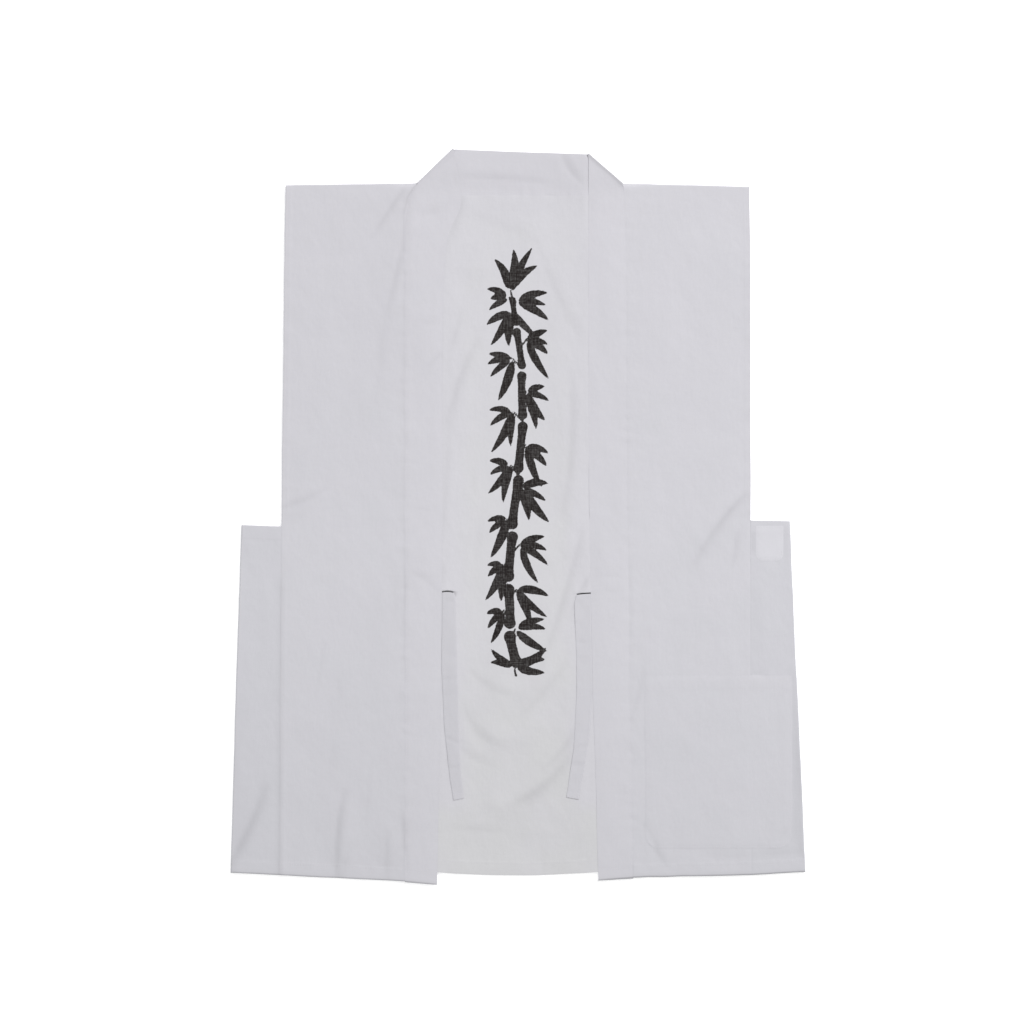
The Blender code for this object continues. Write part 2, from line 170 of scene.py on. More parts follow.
RIGHT_ROWS = (
    Row(0.2688, 0.3830, 0.1230, 0.3865, 0.0825, 0.4219),
    Row(0.2688, 0.3700, 0.1239, 0.3712, 0.0824, 0.3932),
    Row(0.2690, 0.3500, 0.1247, 0.3503, 0.0824, 0.3596),
    Row(0.2692, 0.3306, 0.1253, 0.3306, 0.0824, 0.3329),
    Row(0.2700, 0.2517, 0.1264, 0.2517, 0.0824, 0.2517),
    Row(0.2700, 0.0313, 0.1270, 0.0313, 0.0824, 0.0313),
    Row(0.2697, -0.0060, 0.1276, -0.0060, 0.0833, -0.0060),
    Row(0.2700, -0.0893, 0.1288, -0.0893, 0.0853, -0.0893),
    Row(0.2703, -0.2007, 0.1303, -0.2007, 0.0876, -0.2007),
    Row(0.2706, -0.3167, 0.1322, -0.3167, 0.0911, -0.3167),
    Row(0.2709, -0.4147, 0.1340, -0.4178, 0.0934, -0.4216),
)
BAND_DROP = 0.0010  # how far the band's seam edge reaches below the front's hem
BAND_SLOPE = 0.025  # length over which it comes down from its own neck stretch onto the back
BAND_WIDTH = 0.0445
BAND_STITCH = 0.0018  # from the seam to its stitches
BAND_DENT = 0.5  # share of the depth of other stitches' dents
BAND_SKIP, NECK_SKIP = 3, 8  # rows of points beside the slanting folds without stitches
BAND_HEM_SPAN = 0.06, 0.96, 16  # shares of its width between which its ends are stitched, in so many points
THINNEST = 0.00018  # at the band's free edge
BAND_FOLD_CALM = 0.008  # from the slanting fold, over which its relief sets in
BAND_SEAM_CALM = 0.004
BAND_EDGE_CALM = 0.010
BAND_EDGE_POWER = 1.5
NECK_CALM = 0.010
NECK_EDGE_DEPTH, NECK_EDGE_REACH = 0.00020, 0.005  # dip at the neck stretch's free edge
NECK_TUCK = 0.003  # how far the neck stretch ends beside the slanting folds

TieRow = namedtuple("TieRow", "y outer_x inner_x")
LEFT_TIE = (
    TieRow(-0.0854, -0.0880, -0.0743),
    TieRow(-0.0930, -0.0880, -0.0722),
    TieRow(-0.1717, -0.0880, -0.0702),
    TieRow(-0.1900, -0.0872, -0.0699),
    TieRow(-0.2100, -0.0862, -0.0695),
    TieRow(-0.2378, -0.0850, -0.0689),
    TieRow(-0.2529, -0.0837, -0.0685),
    TieRow(-0.2703, -0.0819, -0.0678),
    TieRow(-0.2877, -0.0803, -0.0668),
    TieRow(-0.3051, -0.0781, -0.0652),
    TieRow(-0.3271, -0.0743, -0.0622),
)
RIGHT_TIE = (
    TieRow(-0.0880, 0.0858, 0.0688),
    TieRow(-0.0997, 0.0860, 0.0661),
    TieRow(-0.1624, 0.0872, 0.0688),
    TieRow(-0.2018, 0.0876, 0.0688),
    TieRow(-0.2482, 0.0840, 0.0666),
    TieRow(-0.2703, 0.0799, 0.0649),
    TieRow(-0.3004, 0.0748, 0.0600),
    TieRow(-0.3260, 0.0709, 0.0567),
)
TIE_CLEARANCE = 0.5 * GAP
TIE_ROW = 0.0019  # between its rows of points
TIE_COLUMN = 0.002
TIE_STITCH = 0.0016  # from its outer edge
TIE_DENSE = 0.0022  # and where its columns lie closest together
TIE_RIPPLES = (  # height, size and the number of its draw
    (0.00022, (0.03, 0.024), 3),
    (0.0001, (0.006, 0.009), 9),
)
TIE_END_CALM = 0.004
TIE_SINK = 0.0001  # how far it may lie below its place on the solids
TIE_HEM_STEP = 0.00010
TIE_SKIP = 2  # rows of points at its ends without stitches
TIE_HEM_SPAN = 0.12, 0.9, 8  # shares of its width between which its hem is stitched, in so many points

GussetRow = namedtuple("GussetRow", "fold_x fold_y seam_x seam_y")
LEFT_GUSSET = (
    GussetRow(-0.3202, -0.0093, -0.2738, -0.0110),
    GussetRow(-0.3329, -0.4124, -0.2767, -0.4153),
)
RIGHT_GUSSET = (
    GussetRow(0.3158, -0.0052, 0.2698, -0.0040),
    GussetRow(0.3339, -0.4113, 0.2709, -0.4147),
)

Patch = namedtuple("Patch", "name left right top bottom corner hem sheet")
POCKET = Patch("pocket", 0.1479, 0.3184, -0.1833, -0.3840, 0.016, POCKET_HEM, POCKET_SHEET)
LABEL = Patch("label", 0.2762, 0.3080, -0.0105, -0.0505, 0.008, 0, LABEL_SHEET)

# A crease follows a curve from start past middle to end: a ridge, or a trough where its height is negative.
# Where it leans, one side of it is steeper than the other.
Crease = namedtuple("Crease", "start middle end height spread lean", defaults=(0,))

# The largest folds, as on the solids
BACK_FOLDS = (
    Crease((-0.002, 0.333), (0.034, 0.284), (0.071, 0.220), 0.0007, 0.016),
    Crease((-0.050, 0.196), (-0.064, 0.170), (-0.080, 0.136), 0.0008, 0.014),
    Crease((0.052, 0.165), (0.052, 0.080), (0.050, -0.010), 0.0006, 0.014),
    Crease((0.070, 0.020), (0.052, -0.073), (0.034, -0.140), 0.0009, 0.014),
    Crease((0.050, -0.100), (0.040, -0.235), (-0.040, -0.189), 0.0013, 0.013),
    Crease((-0.056, -0.208), (-0.030, -0.300), (0.052, -0.222), 0.0012, 0.013),
    Crease((0.054, -0.262), (0.006, -0.385), (-0.050, -0.306), 0.0017, 0.014),
)
LEFT_FOLDS = (
    Crease((-0.128, 0.372), (-0.150, 0.270), (-0.158, 0.190), 0.0009, 0.016),
    Crease((-0.262, 0.014), (-0.242, 0.020), (-0.222, 0.032), 0.0008, 0.012),
    Crease((-0.203, -0.320), (-0.207, -0.360), (-0.207, -0.405), 0.0013, 0.012),
    Crease((-0.150, -0.350), (-0.152, -0.380), (-0.152, -0.405), 0.0010, 0.012),
)
RIGHT_FOLDS = (
    Crease((0.262, 0.024), (0.238, -0.004), (0.208, -0.036), 0.0014, 0.013),
    Crease((0.168, 0.300), (0.176, 0.220), (0.172, 0.130), 0.0006, 0.018),
)
LEFT_GUSSET_FOLDS = (Crease((-0.293, -0.318), (-0.305, -0.345), (-0.322, -0.385), 0.0009, 0.012),)
NECK_FOLDS = (Crease((-0.062, 0.393), (-0.015, 0.397), (0.040, 0.391), 0.0006, 0.012),)

# Finer creases, placed one by one
BACK_CREASES = (
    Crease((-0.0435, 0.21), (-0.069, 0.1682), (-0.0841, 0.0986), -0.00042, 0.0050, 0.2),
    Crease((-0.0795, 0.1311), (-0.0806, 0.0545), (-0.0876, -0.036), -0.00030, 0.0030),
    Crease((0.0609, 0.1705), (0.069, 0.0893), (0.0493, -0.0058), -0.00044, 0.0050, 0.2),
    Crease((0.0771, -0.0035), (0.0632, -0.0731), (0.0215, -0.1891), -0.00042, 0.0045, 0.2),
    Crease((-0.0574, 0.3468), (-0.011, 0.3445), (0.0307, 0.3074), -0.00022, 0.0055, 0.2),
    Crease((0.0215, 0.3213), (0.0377, 0.2633), (0.0748, 0.203), -0.00028, 0.0055, 0.2),
    Crease((0.0887, -0.0615), (0.0702, -0.0847), (0.0586, -0.1195), -0.00034, 0.0035, 0.3),
    Crease((-0.0574, -0.1752), (-0.0365, -0.203), (-0.0064, -0.2065), -0.00038, 0.0040, 0.2),
    Crease((0.0586, -0.1636), (0.0354, -0.2053), (-0.0041, -0.2378), -0.00024, 0.0045),
    Crease((-0.0679, -0.2192), (-0.0655, -0.2656), (-0.0296, -0.2772), 0.00020, 0.0040),
    Crease((-0.0632, -0.21), (-0.0563, -0.261), (-0.0099, -0.2668), -0.00036, 0.0042, 0.2),
    Crease((-0.0737, -0.254), (-0.0574, -0.2842), (-0.0249, -0.2877), -0.00026, 0.0035),
    Crease((0.0702, -0.2378), (0.0563, -0.2726), (0.0238, -0.2981), -0.00036, 0.0045, 0.2),
    Crease((0.0667, -0.268), (0.0354, -0.3213), (-0.0203, -0.3376), -0.00052, 0.0062, 0.25),
    Crease((0.0563, -0.2169), (0.0493, -0.261), (0.0168, -0.2888), 0.00022, 0.0045),
    Crease((0.0655, -0.2912), (0.0539, -0.3097), (0.0331, -0.3283), 0.00016, 0.0040),
    Crease((0.0307, -0.3445), (0.0447, -0.3538), (0.0586, -0.3654), -0.00012, 0.0050),
    Crease((0.0354, -0.312), (0.0168, -0.3283), (-0.0064, -0.3306), -0.00016, 0.0080),
    Crease((-0.0853, -0.3573), (-0.0505, -0.3654), (-0.011, -0.3631), -0.00030, 0.0045),
    Crease((-0.0145, -0.3724), (0.0145, -0.3677), (0.0493, -0.3724), -0.00010, 0.0060),
    Crease((-0.0853, -0.0499), (-0.0864, -0.0673), (-0.0853, -0.0824), -0.00026, 0.0026),
    Crease((-0.0597, 0.384), (-0.069, 0.3515), (-0.0876, 0.3004), -0.00036, 0.0040, 0.3),
    Crease((-0.0655, 0.2448), (-0.069, 0.2146), (-0.0806, 0.1891), -0.00026, 0.0035),
    Crease((-0.0528, 0.0568), (-0.0505, 0.0383), (-0.0528, 0.0197), -0.00014, 0.0040),
    Crease((-0.0458, -0.0012), (-0.0447, -0.0267), (-0.047, -0.0522), -0.00014, 0.0040),
    Crease((-0.076, 0.3097), (-0.069, 0.2285), (-0.0644, 0.1995), 0.00014, 0.0080),
    Crease((-0.0551, 0.0893), (-0.0597, 0.0197), (-0.0551, -0.0499), 0.00012, 0.0090, 0.2),
    Crease((0.0679, -0.0963), (0.0655, -0.1427), (0.0563, -0.2007), 0.00014, 0.0050),
    Crease((-0.069, -0.261), (-0.0551, -0.2772), (-0.0319, -0.2726), 0.00018, 0.0040),
    Crease((0.0354, -0.2772), (0.0493, -0.2564), (0.0586, -0.2308), 0.00020, 0.0050),
    Crease((-0.0597, -0.2471), (-0.0505, -0.2726), (-0.0296, -0.2819), 0.00012, 0.0040),
    Crease((-0.0783, -0.1427), (-0.069, -0.2007), (-0.0644, -0.2355), 0.00014, 0.0070),
)
LEFT_CREASES = (
    Crease((-0.1178, 0.3874), (-0.1305, 0.3619), (-0.1328, 0.3167), -0.00046, 0.0026, 0.2),
    Crease((-0.1247, 0.3886), (-0.1456, 0.3619), (-0.1711, 0.3213), -0.00044, 0.0032, 0.2),
    Crease((-0.1282, 0.3329), (-0.1386, 0.2958), (-0.1525, 0.2308), -0.00042, 0.0036, 0.2),
    Crease((-0.1479, 0.2633), (-0.1595, 0.2053), (-0.1653, 0.1125), -0.00018, 0.0060),
    Crease((-0.2825, 0.0081), (-0.2523, 0.0151), (-0.2175, 0.0336), -0.00034, 0.0040, 0.2),
    Crease((-0.2709, -0.0035), (-0.2569, 0.0012), (-0.2453, -0.0023), -0.00012, 0.0040),
    Crease((-0.1989, -0.312), (-0.2129, -0.3608), (-0.2094, -0.4396), -0.00070, 0.0042, 0.2),
    Crease((-0.2129, -0.2587), (-0.2175, -0.2877), (-0.214, -0.3051), -0.00012, 0.0040),
    Crease((-0.1931, -0.377), (-0.1989, -0.3979), (-0.2047, -0.4257), -0.00020, 0.0032),
    Crease((-0.1502, -0.3608), (-0.1525, -0.3863), (-0.1514, -0.4257), -0.00036, 0.0035),
    Crease((-0.1351, -0.3352), (-0.1317, -0.3724), (-0.127, -0.4257), -0.00048, 0.0030),
    Crease((-0.1711, -0.2796), (-0.1734, -0.3225), (-0.1757, -0.3631), -0.00016, 0.0026),
    Crease((-0.2245, -0.1427), (-0.2268, -0.1705), (-0.2337, -0.2146), -0.00016, 0.0026),
    Crease((-0.2059, -0.1821), (-0.2082, -0.2007), (-0.2082, -0.2216), -0.00012, 0.0026),
    Crease((-0.2523, -0.2123), (-0.2477, -0.2819), (-0.2523, -0.3457), 0.00014, 0.0080, 0.2),
    Crease((-0.1757, -0.2587), (-0.1804, -0.3167), (-0.1769, -0.3747), 0.00014, 0.0070, 0.2),
    Crease((-0.1688, 0.1125), (-0.1757, 0.0197), (-0.1688, -0.0615), 0.00012, 0.0110, 0.2),
    Crease((-0.2685, 0.2517), (-0.2523, 0.2401), (-0.2314, 0.2448), 0.00010, 0.0060),
    Crease((-0.1456, -0.0499), (-0.1409, -0.0847), (-0.1433, -0.1253), -0.00012, 0.0050),
)
RIGHT_CREASES = (
    Crease((0.2674, 0.0267), (0.2326, 0.0012), (0.1978, -0.0661), -0.00046, 0.0048, 0.3),
    Crease((0.2697, 0.0336), (0.2511, 0.0151), (0.2303, -0.0151), -0.00024, 0.0032),
    Crease((0.2488, 0.0209), (0.221, 0.0012), (0.2047, -0.0267), 0.00012, 0.0060),
    Crease((0.2546, -0.0128), (0.2523, -0.0371), (0.2477, -0.0615), -0.00038, 0.0030, 0.2),
    Crease((0.1699, 0.3097), (0.1792, 0.2169), (0.1746, 0.1241), 0.00012, 0.0100, 0.2),
    Crease((0.214, 0.2517), (0.2233, 0.1821), (0.2163, 0.1009), 0.00010, 0.0120),
    Crease((0.1282, -0.0406), (0.1317, -0.1032), (0.1317, -0.1682), -0.00020, 0.0026),
    Crease((0.2001, -0.0673), (0.2117, -0.0963), (0.2303, -0.1334), 0.00010, 0.0080),
    Crease((0.2488, 0.3619), (0.2419, 0.3213), (0.2465, 0.2749), 0.00010, 0.0080),
    Crease((0.1456, -0.3515), (0.1537, -0.3816), (0.1769, -0.4095), -0.00050, 0.0036),
    Crease((0.2117, -0.3909), (0.2465, -0.3932), (0.279, -0.3909), -0.00014, 0.0040),
    Crease((0.2697, -0.1821), (0.2778, -0.181), (0.2883, -0.1821), -0.00026, 0.0024),
    Crease((0.2117, -0.3886), (0.2163, -0.4002), (0.2152, -0.4118), 0.00010, 0.0040),
    Crease((0.1467, -0.1659), (0.1433, -0.2076), (0.1293, -0.2401), -0.00026, 0.0028),
)
LEFT_GUSSET_CREASES = (
    Crease((-0.2917, -0.3051), (-0.3033, -0.3584), (-0.359, -0.4443), -0.00074, 0.0050, 0.2),
    Crease((-0.308, -0.3283), (-0.3184, -0.3538), (-0.3289, -0.37), 0.00012, 0.0060),
    Crease((-0.2964, -0.0499), (-0.2894, -0.0963), (-0.2941, -0.1543), 0.00012, 0.0060),
    Crease((-0.3115, -0.1427), (-0.3149, -0.2123), (-0.3126, -0.2703), 0.00010, 0.0060, 0.2),
    Crease((-0.3196, -0.0278), (-0.3138, -0.0371), (-0.3115, -0.0499), -0.00014, 0.0030),
)
RIGHT_GUSSET_CREASES = (
    Crease((0.272, -0.0197), (0.2732, -0.0313), (0.272, -0.0452), -0.00044, 0.0030),
    Crease((0.2767, -0.3909), (0.3022, -0.3921), (0.3347, -0.3863), -0.00026, 0.0040),
    Crease((0.3103, -0.0081), (0.3103, -0.036), (0.3138, -0.0708), -0.00034, 0.0019),
    Crease((0.272, -0.0568), (0.2813, -0.1079), (0.279, -0.1752), -0.00012, 0.0060),
    Crease((0.2987, -0.0847), (0.3045, -0.1311), (0.3033, -0.1775), 0.00010, 0.0060),
    Crease((0.3173, -0.1682), (0.3219, -0.2819), (0.3265, -0.4072), -0.00034, 0.0042),
    Crease((0.3207, -0.3283), (0.3254, -0.3631), (0.3277, -0.4002), -0.00014, 0.0040),
)
BAND_CREASES = (
    Crease((-0.0783, 0.3956), (-0.0203, 0.3932), (0.0423, 0.3874), -0.00038, 0.0036, 0.2),
    Crease((-0.0551, 0.4025), (-0.0145, 0.4072), (0.0354, 0.4048), 0.00012, 0.0060),
    Crease((0.0505, 0.4269), (0.0539, 0.4025), (0.076, 0.3863), -0.00042, 0.0036, 0.3),
    Crease((0.0609, 0.4234), (0.0655, 0.4095), (0.0725, 0.3979), 0.00016, 0.0030),
    Crease((-0.0702, 0.3828), (-0.0771, 0.3608), (-0.0887, 0.3352), 0.00036, 0.0026, 0.2),
    Crease((-0.1201, 0.3816), (-0.1224, 0.3445), (-0.1235, 0.2935), 0.00020, 0.0032),
    Crease((-0.1131, 0.3538), (-0.1015, 0.3526), (-0.0876, 0.3561), -0.00022, 0.0034),
    Crease((-0.0876, 0.1914), (-0.0945, 0.1821), (-0.1073, 0.1717), -0.00026, 0.0030),
    Crease((-0.1201, 0.2274), (-0.1038, 0.2227), (-0.0876, 0.2274), -0.00016, 0.0035),
    Crease((-0.1317, 0.0128), (-0.1131, 0.007), (-0.0876, 0.0093), -0.00014, 0.0025),
    Crease((-0.1305, -0.065), (-0.1131, -0.0708), (-0.0876, -0.0684), -0.00018, 0.0025),
    Crease((-0.1224, -0.0615), (-0.0992, -0.0789), (-0.0887, -0.087), -0.00022, 0.0030),
    Crease((-0.1317, -0.1705), (-0.1131, -0.1752), (-0.0887, -0.1705), -0.00010, 0.0030),
    Crease((0.0841, -0.0893), (0.1027, -0.0847), (0.1259, -0.087), -0.00014, 0.0025),
    Crease((0.0864, -0.0696), (0.1027, -0.0661), (0.1235, -0.0696), -0.00016, 0.0025),
    Crease((0.0887, -0.0267), (0.0957, -0.0499), (0.0922, -0.0847), -0.00012, 0.0040, 0.2),
    Crease((-0.1328, -0.0499), (-0.1293, -0.0789), (-0.1328, -0.1102), -0.00014, 0.0030),
    Crease((-0.1131, 0.2517), (-0.1085, 0.1705), (-0.1119, 0.0893), 0.00012, 0.0070),
    Crease((0.1027, 0.3213), (0.1073, 0.2169), (0.1038, 0.1125), 0.00012, 0.0070),
    Crease((-0.1085, -0.2123), (-0.1131, -0.2935), (-0.1085, -0.3863), 0.00014, 0.0070),
    Crease((0.1073, -0.1427), (0.1119, -0.2355), (0.1085, -0.3283), 0.00012, 0.0070),
    Crease((0.0887, 0.4025), (0.1003, 0.3909), (0.1143, 0.384), 0.00016, 0.0040, 0.2),
    Crease((-0.1015, 0.4002), (-0.0829, 0.4072), (-0.069, 0.4164), 0.00016, 0.0040, 0.2),
)
TIE_CREASES = (
    Crease((-0.0853, -0.0974), (-0.0795, -0.0928), (-0.0737, -0.0998), -0.00020, 0.0026),
    Crease((-0.0899, -0.1891), (-0.0806, -0.1856), (-0.0702, -0.1891), -0.00014, 0.0022),
    Crease((-0.0853, -0.254), (-0.0771, -0.2575), (-0.0679, -0.2622), -0.00030, 0.0020),
    Crease((-0.0841, -0.29), (-0.076, -0.2923), (-0.0667, -0.2877), -0.00020, 0.0022),
    Crease((-0.0818, -0.2726), (-0.076, -0.2749), (-0.069, -0.2738), 0.00012, 0.0026),
    Crease((0.0655, -0.145), (0.076, -0.1462), (0.0864, -0.1438), -0.00014, 0.0022),
    Crease((0.0655, -0.1589), (0.076, -0.1612), (0.0864, -0.1601), 0.00010, 0.0026),
    Crease((0.0667, -0.2668), (0.076, -0.2633), (0.0864, -0.2656), -0.00018, 0.0022),
    Crease((0.0609, -0.2842), (0.0713, -0.2877), (0.0818, -0.2865), -0.00020, 0.0024),
    Crease((0.0679, -0.0951), (0.0737, -0.094), (0.0818, -0.0928), 0.00012, 0.0018),
)
POCKET_CREASES = (
    Crease((0.1537, -0.3654), (0.1595, -0.3758), (0.1699, -0.3816), -0.00012, 0.0034),
    Crease((0.1653, -0.2587), (0.2117, -0.2726), (0.2627, -0.2633), 0.00012, 0.0100),
    Crease((0.3045, -0.2123), (0.3091, -0.2819), (0.3057, -0.3515), 0.00010, 0.0070),
    Crease((0.2001, -0.3283), (0.2303, -0.3352), (0.2697, -0.3283), 0.00010, 0.0090),
    Crease((0.3022, -0.3724), (0.3091, -0.3677), (0.3149, -0.3584), -0.00014, 0.0035),
)
CREASE_STEPS = 14
CREASE_POWER = 1.7
CREASE_ENDS = 0.7  # how bluntly it ends
CREASE_REACH = 3  # spreads from its middle line
FOLD_SHARE = 0.6  # of a fold's height on the solids

# Where relief fades out
SHOULDER_CLEAR = 0.012
FOLD_CLEAR = 0.002  # no row of a front lies this close to the shoulder fold
NECK_CLEAR = 0.004  # the collar's first line below its slanting fold
HAIR = 0.0002  # less than between two rows of points
ARMHOLE_FADE = 0.004
ARMHOLE_STITCHES = 0.004, 0.003  # from the armhole's foot, and from the shoulder fold
GUSSET_CALM = 0.006  # from a gusset's folded edge
GUSSET_STITCHES = 0.002  # from there to its stitches
OPENING_HALF = 0.081
BETWEEN_TIES_HALF = 0.054
FOLD_FADE = 0.027
FINE_HALF = 0.0835
FINE_FADE = 0.008
TIES_TOP, TIES_END = -0.060, -0.350
TIES_FADE = 0.025
PATCH_CLEAR = 0.006

# The pocket and the label
PATCH_EDGE = 0.00009  # how high a patch stands at its edge, and how much more within
PATCH_LIFT = 0.00018
PATCH_RUN = 0.006
PATCH_CALM = 0.012  # from its edge, over which its creases set in
PATCH_SLACK = 0.25  # share of the loose cloth's unevenness
PATCH_GAP = 0.6  # share of its edge's height that is free under it
PATCH_STITCH = 0.0020  # from its edge
PATCH_HEM_SHARE = 0.3  # of the height of other hems' edges
CORNER_STEPS = 12

# Each tie comes out of a narrow slit in the back's cloth, which is a little raised above it
SLIT_DEPTH = 0.0017
SLIT_FLOOR = 0.0002  # the cloth goes no lower than this
SLIT_SHADE = 0.80
SLIT_WIDTH = 0.0021
SLIT_BOW = {"left": 0.0010, "right": 0.0003}  # how far the ends of a slit lie below its middle
SLIT_SLANT = {"left": 0.0002, "right": 0.0015}  # how far its outer end lies above its inner one
SLIT_SHOWN = 0.0013  # of its width, above the tie
SLIT_WALL = 0.0006
SLIT_FADE = 0.0020  # at its ends
LIP_HEIGHT = 0.00025
LIP_RUN = 0.0150
LIP_INNER, LIP_OUTER = 0.008, 0.006  # how far it reaches past the slit's ends
ARM_LENGTH = 0.0110  # the left slit turns down beside its tie for this length
ARM_FADE = 0.009
ARM_DEPTH = 0.0006
ARM_BESIDE = 0.0006  # from the tie's edge to the middle of the arm
ARM_SPREAD = 0.0009
ARM_SHADE = 0.26
TIE_RISE = 0.0002
TIE_RISE_RUN = 0.006
TIE_END_LEAN = 0.0022  # the inner corner of a tie's free end lies higher than the outer one
TIE_LEAN_RUN = 0.010

# All that differs between the sides. Its seed and the numbers after it start the side's random draws.
Side = namedtuple(
    "Side", "name sign rows seam edge folds creases gusset gusset_folds gusset_creases tie seed",
)
LEFT = Side(
    "left", -1, LEFT_ROWS, LEFT_SEAM, LEFT_EDGE, LEFT_FOLDS, LEFT_CREASES,
    LEFT_GUSSET, LEFT_GUSSET_FOLDS, LEFT_GUSSET_CREASES, LEFT_TIE, 10,
)
RIGHT = Side(
    "right", 1, RIGHT_ROWS, RIGHT_SEAM, RIGHT_EDGE, RIGHT_FOLDS, RIGHT_CREASES,
    RIGHT_GUSSET, (), RIGHT_GUSSET_CREASES, RIGHT_TIE, 20,
)
BACK_SEED, PATCH_SEED, WANDER_SEED = 30, 50, 3

# Spacing of the points
STEP = 0.003
HIDDEN_COLUMNS = 4  # of the back, under each front
INK_STEP = 0.0016
OPENING_STEP = 0.0026
OPENING_REACH = 0.095  # from the middle, where the opening's columns end
UNDER_BANDS = (0.1190, 0.1110, 0.1050, 0.1005, 0.0975)  # the next columns out
ROW_STEP = 0.004
SLIT_ROWS = (0.0056, 0.0036, 0.0020, 0.0010, 0.0003, -0.0003, -0.0010, -0.0018, -0.0024, -0.0032, -0.0042)
SLIT_COLUMNS = (-0.0020, -0.0012, -0.0006, 0, 0.0006, 0.0014)  # at a slit's inner end
HIDDEN_ROWS = (0, 0.25, 0.5, 0.75, 1)  # of a front's lower layer, as shares
HIDDEN_EVERY = 3  # a gusset's lower layer has only each third column
FOLD_STEPS = 8
CLOSE = (0, 0.0005, 0.0012, 0.0022)  # beside an edge
LINE = (-0.0009, -0.0004, 0.0, 0.0005, 0.0011)  # across a hem's stitches
MERGE = 0.0006
SOFTEN = 0.014  # length over which a corner in an edge is rounded
SOFTEN_LINES, SOFTEN_LOSS = 9, 0.9  # averaged over so many lines, the farthest losing this much of its weight
SAMPLE = 0.004  # between the points of a line of stitches

# Stitches
PITCH = 0.0030
STITCH_LENGTH = 0.0022
STITCH_LENGTHS = 0.88, 1.1  # shares of it, between which they vary
STRAY_ALONG, STRAY_ACROSS = 0.0002, 0.00012
THREAD_WIDE = 0.00020  # half the width of a stitch
THREAD_HIGH = 0.00010
STITCH_SIDES = 6
STITCH_RINGS = 0.18, 0.82  # shares of its length where it is full
UNDERSIDE = 0.0001  # height of the stitches on the face that rests on the floor
BACK_HEM_ENDS = -0.272, 0.268  # X of its line of stitches on the underside
BACK_HEM_SHOWN = 0.091  # and how far to each side on the upper face


def smooth(value):
    """Runs softly from 0 to 1 as the value does."""
    value = np.clip(value, 0, 1)
    return value * value * (3 - 2 * value)


def with_height(plan, height):
    """Plan points as XYZ, all at one height or each at its own."""
    heights = np.broadcast_to(height, plan.shape[:-1])
    return np.concatenate([plan, heights[..., None]], axis=-1)


def between(first, last, shares):
    """Lines of points at each share of the way from one edge to the other."""
    shares = np.asarray(shares)[:, None, None]
    return first * (1 - shares) + last * shares


def columns_between(first, last, shares):
    """The same points, with the lines as the grid's columns."""
    return between(first, last, shares).transpose(1, 0, 2)


def read(table, by, marks, *names):
    """The table's named columns, where its column by, which falls from row to row, passes each mark."""
    falling = [-getattr(row, by) for row in table]
    columns = ([getattr(row, name) for row in table] for name in names)
    return np.column_stack([np.interp(-np.asarray(marks), falling, column) for column in columns])


def column_at(table, name, y):
    """X of the table's named line at each Y."""
    falling = [-getattr(row, f"{name}_y") for row in table]
    return np.interp(-y, falling, [getattr(row, f"{name}_x") for row in table])


def line_at(ends, x):
    """Y at each X of the straight line between two points."""
    (x0, y0), (x1, y1) = sorted(ends)
    return y0 + (y1 - y0) * (x - x0) / (x1 - x0)


def stations(length, step, *lines):
    """Distances along a length: close together at its ends and at the lines, and a step apart elsewhere."""
    wanted = {*CLOSE, *(length - place for place in CLOSE)}
    for line in lines:
        wanted |= {line + offset for offset in LINE}
    wanted = sorted(wanted)
    for place in np.linspace(0, length, ceil(length / step) + 1):
        if min(abs(place - other) for other in wanted) > step / 2:
            wanted.append(place)
    kept = []
    for place in sorted(wanted):
        if not kept or place - kept[-1] > MERGE / 2 or place == length:
            kept.append(place)
    return np.array(kept)


def drift(plan, size, seed):
    """Smooth noise from -1 to 1 over plan points, in cells of this size."""
    lattice = np.random.default_rng(seed).uniform(-1, 1, (LATTICE, LATTICE))
    place = plan / np.array(size) + seed
    cell = np.floor(place).astype(int)
    share = smooth(place - cell)
    x, y = cell[..., 0] % LATTICE, cell[..., 1] % LATTICE
    next_x, next_y = (x + 1) % LATTICE, (y + 1) % LATTICE
    low = lattice[x, y] * (1 - share[..., 0]) + lattice[next_x, y] * share[..., 0]
    high = lattice[x, next_y] * (1 - share[..., 0]) + lattice[next_x, next_y] * share[..., 0]
    return low * (1 - share[..., 1]) + high * share[..., 1]


def wander(plan):
    """How far the cloth strays from its drawn place at each plan point."""
    moved = np.zeros(plan.shape)
    for axis in (0, 1):
        for height, size in WANDER:
            moved[..., axis] += height * drift(plan, size, WANDER_SEED + axis)
    return moved


def curve_of(crease, steps=CREASE_STEPS):
    """Points along a crease."""
    start, middle, end = (np.array(point) for point in (crease.start, crease.middle, crease.end))
    share = np.linspace(0, 1, steps + 1)[:, None]
    return start * (1 - share) ** 2 + 2 * middle * share * (1 - share) + end * share**2


